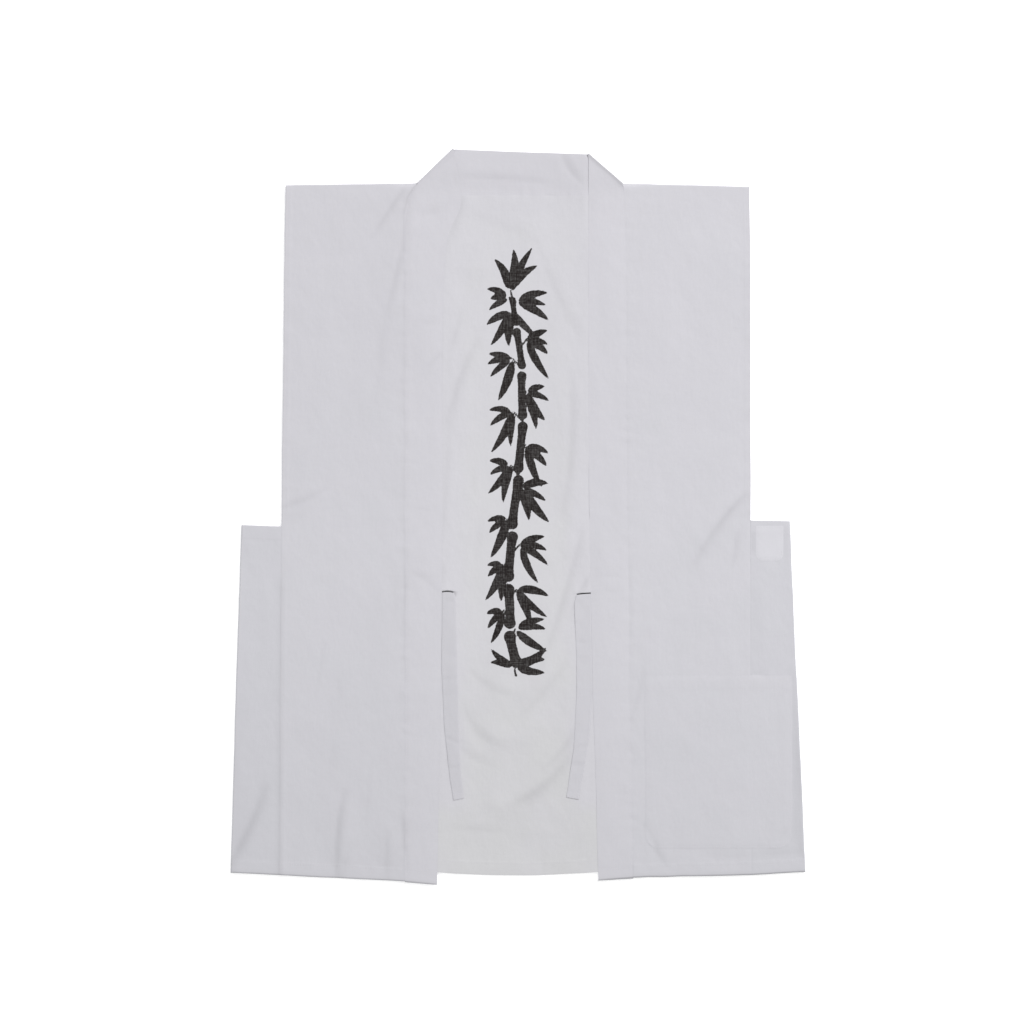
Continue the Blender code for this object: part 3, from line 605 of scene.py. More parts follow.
def crease_at(plan, crease):
    """Height of one crease over plan points."""
    flat = plan.reshape(-1, 2)
    curve = curve_of(crease)
    reach = CREASE_REACH * crease.spread
    near = np.all((flat > curve.min(axis=0) - reach) & (flat < curve.max(axis=0) + reach), axis=1)
    points = flat[near]
    nearest = np.full(len(points), np.inf)
    flank, along = np.zeros(len(points)), np.zeros(len(points))
    for i, (start, end) in enumerate(zip(curve, curve[1:])):
        way = end - start
        share = np.clip((points - start) @ way / (way @ way), 0, 1)
        off = points - start - share[:, None] * way
        distance = np.hypot(*off.T)
        closer = distance < nearest
        nearest[closer] = distance[closer]
        flank[closer] = (way[0] * off[:, 1] - way[1] * off[:, 0])[closer]
        along[closer] = (i + share[closer]) / CREASE_STEPS
    spread = crease.spread * (1 + crease.lean * np.sign(flank))
    height = np.zeros(len(flat))
    ends = np.sin(pi * along) ** CREASE_ENDS
    height[near] = crease.height * ends * np.exp(-((nearest / spread) ** CREASE_POWER))
    return height.reshape(plan.shape[:-1])


def folds_at(plan, folds):
    """Height of the largest folds over plan points."""
    total = np.zeros(plan.shape[:-1])
    for fold in folds:
        total = np.maximum(total, crease_at(plan, fold))
    return FOLD_SHARE * total


def creases_at(plan, creases):
    """Height of the finer creases over plan points."""
    total = np.zeros(plan.shape[:-1])
    for crease in creases:
        total += crease_at(plan, crease)
    return total


def shade_of(plan, creases, *lines):
    """Share of its colour that the cloth loses in its creases, and along lines that are given as the distance
    from each, the share there and how wide it is."""
    troughs = [crease for crease in creases if crease.height < 0]
    shade = -SHADE * creases_at(plan, troughs)
    for distance, share, run in lines:
        shade += share * np.exp(-((distance / run) ** 2))
    return shade


def slack(plan, seed):
    """Soft unevenness of cloth that lies loose."""
    return sum(height * drift(plan, size, seed + i) for i, (height, size) in enumerate(SLACK))


def pucker(plan, distance, size, seed):
    """Small uneven ripples beside a line of stitches."""
    return PUCKER * np.exp(-np.abs(distance) / PUCKER_REACH) * drift(plan, size, seed)


def rolled(distance, drop=EDGE_DROP):
    """How far an edge turns down at this distance from it."""
    return drop * np.clip(1 - distance / EDGE_ROLL, 0, 1) ** 2


def dip(distance, depth, reach):
    """How far the cloth dips towards a seam or an edge, at this distance from it."""
    return depth * np.clip(1 - np.abs(distance) / reach, 0, 1) ** 2


def seam_share(side, y):
    """Share of the collar seam's shade at each Y."""
    falling, shares = np.array(side.seam).T
    return np.interp(-y, -falling, shares)


def edge_height(side, y):
    """Height of the band's free edge over the cloth below it, at each Y."""
    falling, heights = np.array(side.edge).T
    return np.interp(-y, -falling, heights)


def swell(plan):
    """How far the cloth beside and under the bands is drawn up to their free edges."""
    x, y = plan[..., 0], plan[..., 1]
    highest = np.zeros(x.shape)
    for side in (LEFT, RIGHT):
        inside = side.sign * (column_at(side.rows, "free", y) - x)
        run = np.where(inside > 0, SWELL_OPEN, SWELL_HIDDEN)
        highest = np.maximum(highest, np.exp(-((np.abs(inside) / run) ** SWELL_POWER)))
    return SWELL * highest


def softened(table, name, marks):
    """X of the table's named line at each mark, with its corners rounded."""
    offsets = np.linspace(-SOFTEN, SOFTEN, SOFTEN_LINES)
    weights = 1 - np.abs(np.linspace(-SOFTEN_LOSS, SOFTEN_LOSS, SOFTEN_LINES))
    lines = [column_at(table, name, marks + offset) for offset in offsets]
    return np.average(lines, axis=0, weights=weights)


def dent(distance, line):
    """Depth of the dent of a line of stitches."""
    return STITCH_DENT * np.exp(-(((distance - line) / DENT_SPREAD) ** 2))


def hem_relief(distance, width, drop=EDGE_DROP):
    """What a hem adds at this distance from its edge."""
    turned = HEM_STEP * smooth((width - distance) / STEP_RUN + 0.5)
    return turned - dent(distance, width - STITCH_IN) - rolled(distance, drop)


def outside(plan, patch):
    """0 under a patch, and 1 clear of it."""
    beyond_x = np.maximum(patch.left - plan[..., 0], plan[..., 0] - patch.right)
    beyond_y = np.maximum(patch.bottom - plan[..., 1], plan[..., 1] - patch.top)
    return smooth(np.maximum(beyond_x, beyond_y) / PATCH_CLEAR)


def new_mesh(name, points, faces, attributes=()):
    """A smooth object from points and faces, with the cloth's straying added to its points."""
    points = np.array(points)
    points[:, :2] += wander(points[:, :2])
    data = bpy.data.meshes.new(name)
    data.from_pydata(points.tolist(), [], faces)
    data.polygons.foreach_set("use_smooth", np.ones(len(data.polygons), dtype=bool))
    for label, values in dict(attributes).items():
        data.attributes.new(label, "FLOAT", "POINT").data.foreach_set("value", values)
    return placed(name, data)


def placed(name, data, place=(0, 0, 0)):
    """A new object in the scene."""
    made = bpy.data.objects.new(name, data)
    made.location = place
    bpy.context.scene.collection.objects.link(made)
    return made


def facing_out(points, faces):
    """The faces, turned over if they enclose a negative volume."""
    a, b, c, d = (points[faces[:, i]] for i in range(4))
    volume = np.einsum("ij,ij->", a, np.cross(b, c)) + np.einsum("ij,ij->", a, np.cross(c, d))
    return faces if volume > 0 else faces[:, ::-1]


def shell(name, outer, inner, attributes=()):
    """Closed cloth between two grids of points, given as rows by columns by XYZ."""
    rows, columns = outer.shape[:2]
    count = rows * columns
    index = np.arange(count).reshape(rows, columns)
    corners = index[:-1, :-1], index[:-1, 1:], index[1:, 1:], index[1:, :-1]
    cells = np.stack(corners, axis=-1).reshape(-1, 4)
    loop = np.concatenate([index[0], index[1:, -1], index[-1, -2::-1], index[-2:0:-1, 0]])
    ahead = np.roll(loop, -1)
    rim = np.stack([ahead, loop, loop + count, ahead + count], axis=-1)
    faces = np.concatenate([cells, cells[:, ::-1] + count, rim])
    points = np.concatenate([outer.reshape(-1, 3), inner.reshape(-1, 3)])
    doubled = {label: np.tile(values.ravel(), 2) for label, values in dict(attributes).items()}
    made = new_mesh(name, points, facing_out(points, faces).tolist(), doubled)
    made.data.set_sharp_from_angle(angle=SHARP)
    return made


def dress(piece, material, slot, *nodes):
    """Gives a piece its material and its place on the frame, and hides the solids that it stands for."""
    piece.data.materials.append(material)
    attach(piece, "root")
    if nodes:
        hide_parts(*nodes)
    return piece


def half_turn(axis, outward, wall, sheet, angles):
    """Outer and inner points of cloth round a soft fold, one line of points for each angle."""
    radius = wall + GAP / 2
    faces = []
    for reach in (radius, radius - sheet):
        turns = [(reach * cos(angle), radius + reach * sin(angle)) for angle in angles]
        faces.append(np.array([with_height(axis + outward * out, up) for out, up in turns]))
    return faces


def folded(lower, upper, outward, top):
    """Outer and inner points of a panel that comes from below, turns round a soft fold and lies on itself."""
    angles = np.linspace(-pi / 2, pi / 2, FOLD_STEPS + 1)
    turn_outer, turn_inner = half_turn(upper[0], outward, WALL, SHEET, angles)
    outer = [with_height(lower[:-1], 0), turn_outer, with_height(upper[1:], top[1:])]
    inner = [with_height(lower[:-1], SHEET), turn_inner, with_height(upper[1:], top[1:] - SHEET)]
    return np.concatenate(outer), np.concatenate(inner)


def stitch_ends(lines, rng):
    """Where each stitch starts and ends along the lines, and 1 or -1 for the face that it is on."""
    starts, ends, ups = [], [], []
    for line, up in lines:
        line = np.asarray(line)
        run = np.concatenate([[0], np.cumsum(np.linalg.norm(np.diff(line, axis=0), axis=1))])
        count = int(run[-1] / PITCH)
        middle = (np.arange(count) + 0.5) * run[-1] / count + rng.uniform(-STRAY_ALONG, STRAY_ALONG, count)
        half = STITCH_LENGTH / 2 * rng.uniform(*STITCH_LENGTHS, count)
        for places, kept in ((middle - half, starts), (middle + half, ends)):
            kept.append(np.column_stack([np.interp(places, run, line[:, axis]) for axis in range(3)]))
        ups.append(np.full(count, up))
    return np.concatenate(starts), np.concatenate(ends), np.concatenate(ups)


def stitches(name, lines, seed):
    """One mesh with the stitches along lines of surface points. Each line comes with 1 or -1 for its face,
    up or down."""
    rng = np.random.default_rng(seed)
    start, end, up = stitch_ends(lines, rng)
    way = end - start
    across = np.column_stack([-way[:, 1], way[:, 0], np.zeros(len(way))])
    across /= np.linalg.norm(across, axis=1, keepdims=True)
    start = start + across * rng.uniform(-STRAY_ACROSS, STRAY_ACROSS, (len(way), 1))
    rise = np.column_stack([np.zeros(len(way)), np.zeros(len(way)), up])
    rings = [start - rise * THREAD_HIGH / 2]
    for share in STITCH_RINGS:
        for angle in np.arange(STITCH_SIDES) * 2 * pi / STITCH_SIDES:
            off = across * THREAD_WIDE * cos(angle) + rise * THREAD_HIGH * sin(angle)
            rings.append(start + way * share + off)
    rings.append(end - rise * THREAD_HIGH / 2)
    points = np.stack(rings, axis=1)
    block = points.shape[1]
    faces = [
        tuple(block * k + corner for corner in face)
        for k in range(len(points)) for face in stitch_faces()
    ]
    return dress(new_mesh(name, points.reshape(-1, 3), faces), MATERIALS["thread"], "body_cotton")


def stitch_faces():
    """The faces of one stitch: its first point, two rings and its last point."""
    near, far, last = 1, 1 + STITCH_SIDES, 1 + 2 * STITCH_SIDES
    faces = []
    for i in range(STITCH_SIDES):
        j = (i + 1) % STITCH_SIDES
        faces.append((0, near + j, near + i))
        faces.append((near + i, near + j, far + j, far + i))
        faces.append((last, far + i, far + j))
    return faces


def sampled(first, last):
    """Plan points along a straight line."""
    first, last = np.array(first), np.array(last)
    count = max(2, ceil(np.linalg.norm(last - first) / SAMPLE))
    return first + (last - first) * np.linspace(0, 1, count)[:, None]


# The back

def open_share(plan):
    """1 where the back shows in the opening, fading to 0 under the bands and the ties."""
    x, y = plan[..., 0], plan[..., 1]
    beside_ties = smooth((TIES_TOP - y) / TIES_FADE + 1) * smooth((y - TIES_END) / TIES_FADE + 1)
    half = OPENING_HALF + (BETWEEN_TIES_HALF - OPENING_HALF) * beside_ties
    return smooth((half - np.abs(x)) / FOLD_FADE)


def slit_drop(side, x):
    """How far a tie's top and its slit lie below their middle, at each X."""
    top = side.tie[0]
    share = np.clip((x - top.inner_x) / (top.outer_x - top.inner_x), 0, 1)
    return SLIT_BOW[side.name] * (2 * share - 1) ** 2 - SLIT_SLANT[side.name] * (share - 0.5)


def from_slit(plan, side):
    """How far each plan point lies outwards of a slit's inner end, inwards of its outer end, and below it."""
    top, place = side.tie[0], side.sign * plan[..., 0]
    down = top.y - slit_drop(side, plan[..., 0]) - plan[..., 1]
    return place - abs(top.inner_x), abs(top.outer_x) - place, down


def slit_share(plan, side):
    """1 in the slit that a tie comes out of, and 0 clear of it."""
    past_inner, to_outer, down = from_slit(plan, side)
    wide = smooth((past_inner + SLIT_WALL) / SLIT_FADE) * smooth((to_outer + SLIT_FADE) / SLIT_FADE)
    return wide * smooth(down / SLIT_WALL + 0.5) * smooth((SLIT_WIDTH - down) / SLIT_WALL + 0.5)


def slit(plan, side):
    """Relief of the back at the slit that a tie comes out of. The left one turns down beside its tie."""
    past_inner, to_outer, down = from_slit(plan, side)
    wide = smooth(past_inner / LIP_INNER + 1) * smooth(to_outer / LIP_OUTER + 1)
    lip = LIP_HEIGHT * wide * np.exp(-((np.minimum(down, 0) / LIP_RUN) ** 2)) * (down < 0)
    sunk = slit_share(plan, side)
    relief = lip - SLIT_DEPTH * sunk
    if side is LEFT:
        relief -= ARM_DEPTH * slit_arm(plan) * (1 - sunk)
    return relief


def slit_arm(plan):
    """1 along the arm of the left slit, which turns down beside its tie."""
    x, y = plan[..., 0], plan[..., 1]
    down = LEFT.tie[0].y - y
    falling = [-row.y for row in LEFT.tie]
    beside = np.interp(-y, falling, [row.inner_x for row in LEFT.tie]) + ARM_BESIDE
    along = smooth((ARM_LENGTH - down) / ARM_FADE) * smooth(down / SLIT_WALL - 0.5)
    return along * np.exp(-(((x - beside) / ARM_SPREAD) ** 2))


def inner_relief(plan):
    """Relief of the loose cloth of the back and of the neck stretch, alike on both sides of their seam."""
    fine = smooth((FINE_HALF - np.abs(plan[..., 0])) / FINE_FADE)
    relief = creases_at(plan, BACK_CREASES + BAND_CREASES) + slack(plan, BACK_SEED)
    relief += pucker(plan, NECK_SEAM - plan[..., 1], ALONG_X, BACK_SEED + 2)
    return relief * fine + swell(plan)


def back_height(plan, slits=True):
    """Height of the back's upper face, with the slits that the ties come out of or only with their lips."""
    x, y = plan[..., 0], plan[..., 1]
    relief = folds_at(plan, BACK_FOLDS) * open_share(plan) + inner_relief(plan)
    down = y - back_hem_y(x)
    fine = smooth((FINE_HALF - np.abs(x)) / FINE_FADE)
    relief += (hem_relief(down, HEM) + pucker(plan, down - HEM, ALONG_X, BACK_SEED + 1)) * fine
    risen = np.exp(-((np.abs(NECK_SEAM - y) / NECK_SEAM_REACH) ** SWELL_POWER))
    relief += (BAND_WALL - WALL) * risen * smooth((NECK_RISE_HALF - np.abs(x)) / NECK_RISE_FADE)
    slit_relief = slit(plan, LEFT) + slit(plan, RIGHT)
    return WALL + relief + (slit_relief if slits else np.maximum(slit_relief, 0))


def hem_sag(x):
    """How far the back's hem sags at each X."""
    return BACK_HEM_SAG * np.cos(pi / 2 * np.clip(x / OPENING_LOW_HALF, -1, 1))


def back_hem_y(x):
    """Y of the back's hem at each X."""
    return BACK_HEM - hem_sag(x)


def with_close(places, close):
    """The places with the close ones in the stead of those that lie near them."""
    kept = places[np.min(np.abs(places[:, None] - close), axis=1) > MERGE]
    return np.concatenate([kept, close])


def opening_columns():
    """X of the back's columns in the opening, closest together where the ink is and at the slits' ends."""
    count = ceil((OPENING_REACH - INK_HALF) / OPENING_STEP)
    outer = np.concatenate([UNDER_BANDS, np.linspace(OPENING_REACH, INK_HALF, count, endpoint=False)])
    middle = np.linspace(-INK_HALF, INK_HALF, ceil(2 * INK_HALF / INK_STEP))
    columns = np.concatenate([-outer, middle, outer])
    for side in (LEFT, RIGHT):
        columns = with_close(columns, side.tie[0].inner_x + side.sign * np.array(SLIT_COLUMNS))
    return np.sort(columns)


def back_marks():
    """Y of the back's rows, closest together where the ink is and at the tops of the ties."""
    rows = NECK_SEAM - stations(NECK_SEAM - BACK_HEM, ROW_STEP, NECK_SEAM - BACK_HEM - HEM)
    plain = rows[(rows > INK_TOP + INK_STEP) | (rows < INK_LOW - INK_STEP)]
    inked = np.arange(INK_TOP, INK_LOW, -INK_STEP)
    for side in (LEFT, RIGHT):
        inked = with_close(inked, side.tie[0].y + np.array(SLIT_ROWS))
    inked = np.sort(inked)[::-1]
    keep = np.concatenate([[True], -np.diff(inked) > MERGE / 3])
    return np.concatenate([plain[plain > INK_TOP], inked[keep], plain[plain < INK_LOW]])


def back_plan():
    """Plan points of the back, in rows from the neck seam to the hem."""
    marks = back_marks()
    opening = opening_columns()
    left = column_at(LEFT_ROWS, "edge", marks)
    right = column_at(RIGHT_ROWS, "edge", marks)
    rows = []
    for y, first, last in zip(marks, left, right):
        under_left = np.linspace(first, opening[0], HIDDEN_COLUMNS, endpoint=False)
        under_right = np.linspace(last, opening[-1], HIDDEN_COLUMNS, endpoint=False)[::-1]
        x = np.concatenate([under_left, opening, under_right])
        down = (marks[0] - y) / (marks[0] - BACK_HEM)
        rows.append(np.column_stack([x, y - down * hem_sag(x)]))
    return np.array(rows)


def make_back():
    """The back panel, with the ink motif and the line of its hem."""
    plan = back_plan()
    top = np.maximum(back_height(plan), SLIT_FLOOR)
    under = np.maximum(top - SHEET, 0)
    shade = shade_of(plan, BACK_CREASES)
    for side in (LEFT, RIGHT):
        shade = np.maximum(shade, SLIT_SHADE * slit_share(plan, side))
    shade = np.maximum(shade, ARM_SHADE * slit_arm(plan))
    looks = {"ink": ink_at(plan), "shade": shade}
    panel = shell("back_panel", with_height(plan, top), with_height(plan, under), looks)
    dress(panel, MATERIALS["back"], "back_cotton", "back")
    first, last = BACK_HEM_ENDS
    hem = sampled((first, 0), (last, 0))
    hem[:, 1] = back_hem_y(hem[:, 0]) + HEM - STITCH_IN
    shown = hem[np.abs(hem[:, 0]) < BACK_HEM_SHOWN]
    lines = [(with_height(shown, back_height(shown)), 1), (with_height(hem, UNDERSIDE), -1)]
    return panel, stitches("stitches_back", lines, 1)


# The fronts

def side_marks(side, clear):
    """Y of the rows of a front or of its band, from the shoulder fold to the hem, none of them closer to the
    fold than clear."""
    first, last = side.rows[0].seam_y, side.rows[-1].seam_y
    marks = first - stations(first - last, STEP, NECK_CLEAR, first - last - HEM)
    return np.concatenate([marks[:1], marks[marks < first - clear]])


def front_hem(side):
    """The ends of a front's hem."""
    row = side.rows[-1]
    return (row.edge_x, row.edge_y), (row.seam_x, row.seam_y)


def loose(side, plan):
    """Relief of the loose cloth of a front, its band and its gusset, alike on both sides of their seams."""
    from_seam = plan[..., 0] - column_at(side.rows, "seam", plan[..., 1])
    relief = slack(plan, side.seed) + pucker(plan, from_seam, ALONG_Y, side.seed + 4)
    return relief + creases_at(plan, side.creases + side.gusset_creases + BAND_CREASES)


def front_height(side, plan):
    """Height of a front's upper face."""
    x, y = plan[..., 0], plan[..., 1]
    from_edge = np.abs(x - column_at(side.rows, "edge", y))
    from_seam = np.abs(x - column_at(side.rows, "seam", y))
    from_hem = y - line_at(front_hem(side), x)
    calm = smooth((side.rows[0].edge_y - y) / SHOULDER_CLEAR)
    relief = (loose(side, plan) + folds_at(plan, side.folds)) * calm
    relief += pucker(plan, from_hem - HEM, ALONG_X, side.seed + 5)
    armhole = smooth((y - ARMHOLE_LOW) / ARMHOLE_FADE)
    relief += armhole * (hem_relief(from_edge, ARMHOLE_HEM) + pucker(plan, from_edge, ALONG_Y, side.seed + 6))
    turned = ALLOWANCE * np.exp(-(((from_edge - ALLOWANCE_AT) / ALLOWANCE_SPREAD) ** 2))
    relief += (1 - armhole) * (turned * outside(plan, POCKET) - dip(from_edge, SIDE_DEPTH, SIDE_REACH))
    risen = SEAM_RISE + (BAND_WALL - WALL) * on_neck(y)
    below_fold = smooth((side.rows[0].seam_y - y) / SEAM_RISE_FADE)
    relief += risen * np.exp(-((from_seam / SEAM_RISE_REACH) ** SWELL_POWER)) * below_fold
    return ON_BACK + WALL + relief + hem_relief(from_hem, HEM, FOOT_DROP)


def foot_at(side, x):
    """Y of the foot of a side's band, front and gusset, at each X."""
    row, gusset = side.rows[-1], side.gusset[-1]
    places = np.abs((row.free_x, row.seam_x, gusset.seam_x, gusset.fold_x))
    return np.interp(side.sign * x, places, (row.free_y, row.seam_y, gusset.seam_y, gusset.fold_y))


def on_neck(y):
    """1 where the band lies over its own neck stretch, fading to 0 below it."""
    return smooth((y - NECK_SEAM + GAP) / BAND_SLOPE + 1)


def front_shade(side, plan):
    """Shade of a front, or of its gusset."""
    x, y = plan[..., 0], plan[..., 1]
    from_seam = x - column_at(side.rows, "seam", y)
    from_side = x - column_at(side.gusset, "seam", y)
    late = 1 - SIDE_SHADE_LATE + SIDE_SHADE_LATE * smooth((SIDE_SHADE_FULL - y) / SIDE_SHADE_GAIN)
    beside_gusset = smooth((SIDE_SHADE_TOP - y) / SIDE_SHADE_FADE) * late
    rim = np.where(y > ARMHOLE_LOW, column_at(side.rows, "edge", y), column_at(side.gusset, "fold", y))
    lines = (
        (from_seam, SEAM_SHADE * seam_share(side, y), SEAM_SHADE_RUN),
        (from_side, SIDE_SHADE[side.name] * beside_gusset, SIDE_SHADE_RUN),
        (x - rim, RIM_SHADE, RIM_SHADE_RUN),
        (y - foot_at(side, x), FOOT_SHADE[side.name], RIM_SHADE_RUN),
    )
    return shade_of(plan, side.creases + side.gusset_creases, *lines)


def meeting_collar(side, seam_x, y):
    """X of the front's seam edge at each Y, which closes up to the end of the collar's slanting fold."""
    fold_end, _, _ = band_fold(side)
    low = side.rows[0].seam_y - NECK_CLEAR
    low_x = column_at(side.rows, "seam", low)
    closed = low_x + (fold_end[0] - low_x) * (y - low) / (fold_end[1] - low)
    return np.where(y > low, closed, seam_x)


def make_front(side):
    """A front panel, which turns over the shoulder fold to meet the back's top edge."""
    marks = side_marks(side, FOLD_CLEAR)
    edge = read(side.rows, "seam_y", marks, "edge_x", "edge_y")
    seam = read(side.rows, "seam_y", marks, "seam_x", "seam_y")
    width = abs(edge[0, 0] - seam[0, 0])
    columns = stations(width, STEP, ARMHOLE_HEM) / width
    radius = WALL + GAP / 2
    seam[:, 0] = meeting_collar(side, seam[:, 0], marks - radius * (marks == marks[0]))
    upper = columns_between(edge, seam, columns)
    upper[0, :, 1] -= radius
    outward = np.tile((0.0, 1.0), (len(columns), 1))
    outward[-1, 0] = (side.rows[0].seam_x - seam[0, 0]) / radius
    far, near = edge[0, 0], neck_corner_x(side, NECK_SEAM) + 2 * side.sign * GAP
    hidden = np.array([(far + (near - far) * share, NECK_SEAM) for share in columns])
    lower = between(hidden, upper[0], HIDDEN_ROWS)
    outer, inner = folded(lower, upper, outward, front_height(side, upper))
    panel = shell(f"front_panel_{side.name}", outer, inner, {"shade": front_shade(side, outer[..., :2])})
    dress(panel, MATERIALS["body"], "body_cotton", f"front_{side.name}")
    return panel, front_stitches(side)


def front_stitches(side):
    """The stitches of a front's hem and of its armhole hem."""
    start, end = front_hem(side)
    hem = sampled(start, end) + (0, HEM - STITCH_IN)
    above, below = ARMHOLE_STITCHES
    y = np.arange(ARMHOLE_LOW + above, side.rows[0].edge_y - below, SAMPLE)
    armhole = np.column_stack([column_at(side.rows, "edge", y) - side.sign * (ARMHOLE_HEM - STITCH_IN), y])
    lines = [(with_height(line, front_height(side, line)), 1) for line in (hem, armhole)]
    return stitches(f"stitches_front_{side.name}", lines, side.seed)


# The gussets

def gusset_line(side, row):
    """The ends of a gusset's top or hem."""
    row = side.gusset[row]
    return (row.fold_x, row.fold_y), (row.seam_x, row.seam_y)


def gusset_height(side, plan):
    """Height of a gusset's upper face."""
    x, y = plan[..., 0], plan[..., 1]
    from_seam = np.abs(x - column_at(side.gusset, "seam", y))
    from_fold = np.abs(x - column_at(side.gusset, "fold", y))
    from_hem = y - line_at(gusset_line(side, -1), x)
    from_top = line_at(gusset_line(side, 0), x) - y
    relief = (loose(side, plan) + folds_at(plan, side.gusset_folds)) * smooth(from_fold / GUSSET_CALM)
    hems = hem_relief(from_hem, HEM, FOOT_DROP) + hem_relief(from_top, HEM)
    relief += hems - dip(from_seam, SIDE_DEPTH, SIDE_REACH)
    return ON_BACK + WALL + relief


def make_gusset(side):
    """A side gusset: a strip folded along its outer edge, between the sides of the back and the front."""
    first, last = side.gusset[0].seam_y, side.gusset[-1].seam_y
    marks = first - stations(first - last, STEP, HEM, first - last - HEM)
    outward = np.array((side.sign, 0))
    seam = read(side.gusset, "seam_y", marks, "seam_x", "seam_y")
    fold = read(side.gusset, "seam_y", marks, "fold_x", "fold_y")
    axis = fold - outward * (WALL + GAP / 2)
    width = abs(axis[0, 0] - seam[0, 0])
    columns = stations(width, STEP) / width
    lower = between(seam, axis, [*columns[::HIDDEN_EVERY], 1])
    upper = between(axis, seam, columns)
    outer, inner = folded(lower, upper, outward, gusset_height(side, upper))
    panel = shell(f"side_gusset_{side.name}", outer, inner, {"shade": front_shade(side, outer[..., :2])})
    dress(panel, MATERIALS["gusset"], "body_cotton", f"gusset_{side.name}")
    return panel, gusset_stitches(side)


def gusset_stitches(side):
    """The stitches of a gusset's two hems, on its upper face and on the underside."""
    inset = (-side.sign * GUSSET_STITCHES, 0)
    lines = []
    for row, offset in ((0, STITCH_IN - HEM), (-1, HEM - STITCH_IN)):
        start, end = gusset_line(side, row)
        line = sampled(np.array(start) + inset, end) + (0, offset)
        lines += [(with_height(line, gusset_height(side, line)), 1), (with_height(line, UNDERSIDE), -1)]
    return stitches(f"stitches_gusset_{side.name}", lines, side.seed + 1)


# The collar band

def band_fold(side):
    """The axis of the slanting fold where the collar turns at the neck, as its end at the seam and its end
    at the free edge, and the way out of the fold."""
    row = side.rows[0]
    seam = np.array((row.seam_x, row.seam_y))
    free = np.array((row.free_x, row.free_y))
    along = (free - seam) / np.linalg.norm(free - seam)
    outward = side.sign * np.array((along[1], -along[0]))
    radius = BAND_WALL + GAP / 2
    return seam - outward * radius, free - outward * radius, outward


def neck_corner_x(side, y):
    """Where the lower layer of the collar ends beside the shoulder, at this Y."""
    seam, _, outward = band_fold(side)
    return seam[0] - outward[0] * (seam[1] - y) / outward[1]


def across_band(shares):
    """Relief across the band beside its seam, with the dent of its stitches."""
    from_seam = shares * BAND_WIDTH
    return -dip(from_seam, BAND_SEAM_DEPTH, BAND_SEAM_REACH) - BAND_DENT * dent(from_seam, BAND_STITCH)


def below_band(plan):
    """Height of the cloth that a front stretch of the collar lies on: its own neck stretch, or the back."""
    above_neck = plan[..., 1] > NECK_SEAM
    return np.where(above_neck, neck_height(plan, plan[..., 1] - NECK_SEAM), back_height(plan, slits=False))


def stretch_plan(side, shares):
    """Plan points of a front stretch of the collar, and those of its free edge."""
    marks = side_marks(side, NECK_CLEAR - HAIR)
    seam = read(side.rows, "seam_y", marks, "seam_x", "seam_y")
    free = read(side.rows, "seam_y", marks, "free_x", "free_y")
    free[1:, 0] = softened(side.rows, "free", free[1:, 1])
    seam[-1, 1] -= BAND_DROP
    seam[0], free[0], _ = band_fold(side)
    return columns_between(seam, free, shares), free


def front_stretch(side, shares):
    """Upper and lower face of a front stretch of the collar, from the slanting fold down to the hem."""
    plan, free = stretch_plan(side, shares)
    height = ON_BACK + BAND_WALL + (BAND_WALL - WALL) * on_neck(plan[..., 1])
    from_fold = np.linalg.norm(plan - plan[:1], axis=-1)
    relief = loose(side, plan) * smooth(from_fold / BAND_FOLD_CALM)
    relief += across_band(shares) * smooth(from_fold / BAND_SEAM_CALM)
    from_hem = np.abs(plan[..., 1] - plan[-1:, :, 1])
    top = height + relief - rolled(from_hem, FOOT_DROP) - dent(from_hem, HEM - STITCH_IN)
    carried = below_band(plan)
    reach = BAND_EDGE_REACH * (1 + on_neck(plan[..., 1]))
    at_edge = np.exp(-(((1 - shares) * BAND_WIDTH / reach) ** BAND_EDGE_POWER))
    at_edge = at_edge * smooth(from_fold / BAND_EDGE_CALM)
    edge_top = below_band(free)[:, None] + edge_height(side, free[:, 1:])
    top = np.maximum(top + (edge_top - top) * at_edge, carried + edge_height(side, plan[..., 1]))
    top[0] = height[0]
    lower = np.maximum(np.maximum(top - BAND_SHEET, height - BAND_WALL), carried + CLEARANCE)
    lower = np.maximum(np.minimum(lower, top - THINNEST), carried + CLEARANCE / 4)
    lower[0] = height[0] - BAND_SHEET
    return with_height(plan, top), with_height(plan, lower)


def neck_height(plan, from_seam):
    """Height of the upper face of the collar's stretch behind the neck."""
    away = smooth(np.abs(from_seam) / NECK_CALM)
    relief = inner_relief(plan) + folds_at(plan, NECK_FOLDS) * away
    stitched = BAND_DENT * dent(from_seam, BAND_STITCH) * away
    relief -= dip(BAND_WIDTH - from_seam, NECK_EDGE_DEPTH, NECK_EDGE_REACH) + stitched
    return BAND_WALL + relief


def neck_stretch(shares):
    """Upper face of the stretch behind the neck, without the two lines at its folds."""
    edges = []
    for side in (LEFT, RIGHT):
        _, axis_free, _ = band_fold(side)
        low = np.array((neck_corner_x(side, NECK_SEAM), NECK_SEAM))
        inward = np.array((-side.sign * NECK_TUCK, 0))
        edges.append(low + inward + (axis_free - low) * shares[:, None])
    count = ceil(abs(edges[1][0, 0] - edges[0][0, 0]) / STEP)
    plan = between(*edges, np.linspace(0, 1, count))
    return with_height(plan, neck_height(plan, shares * BAND_WIDTH))


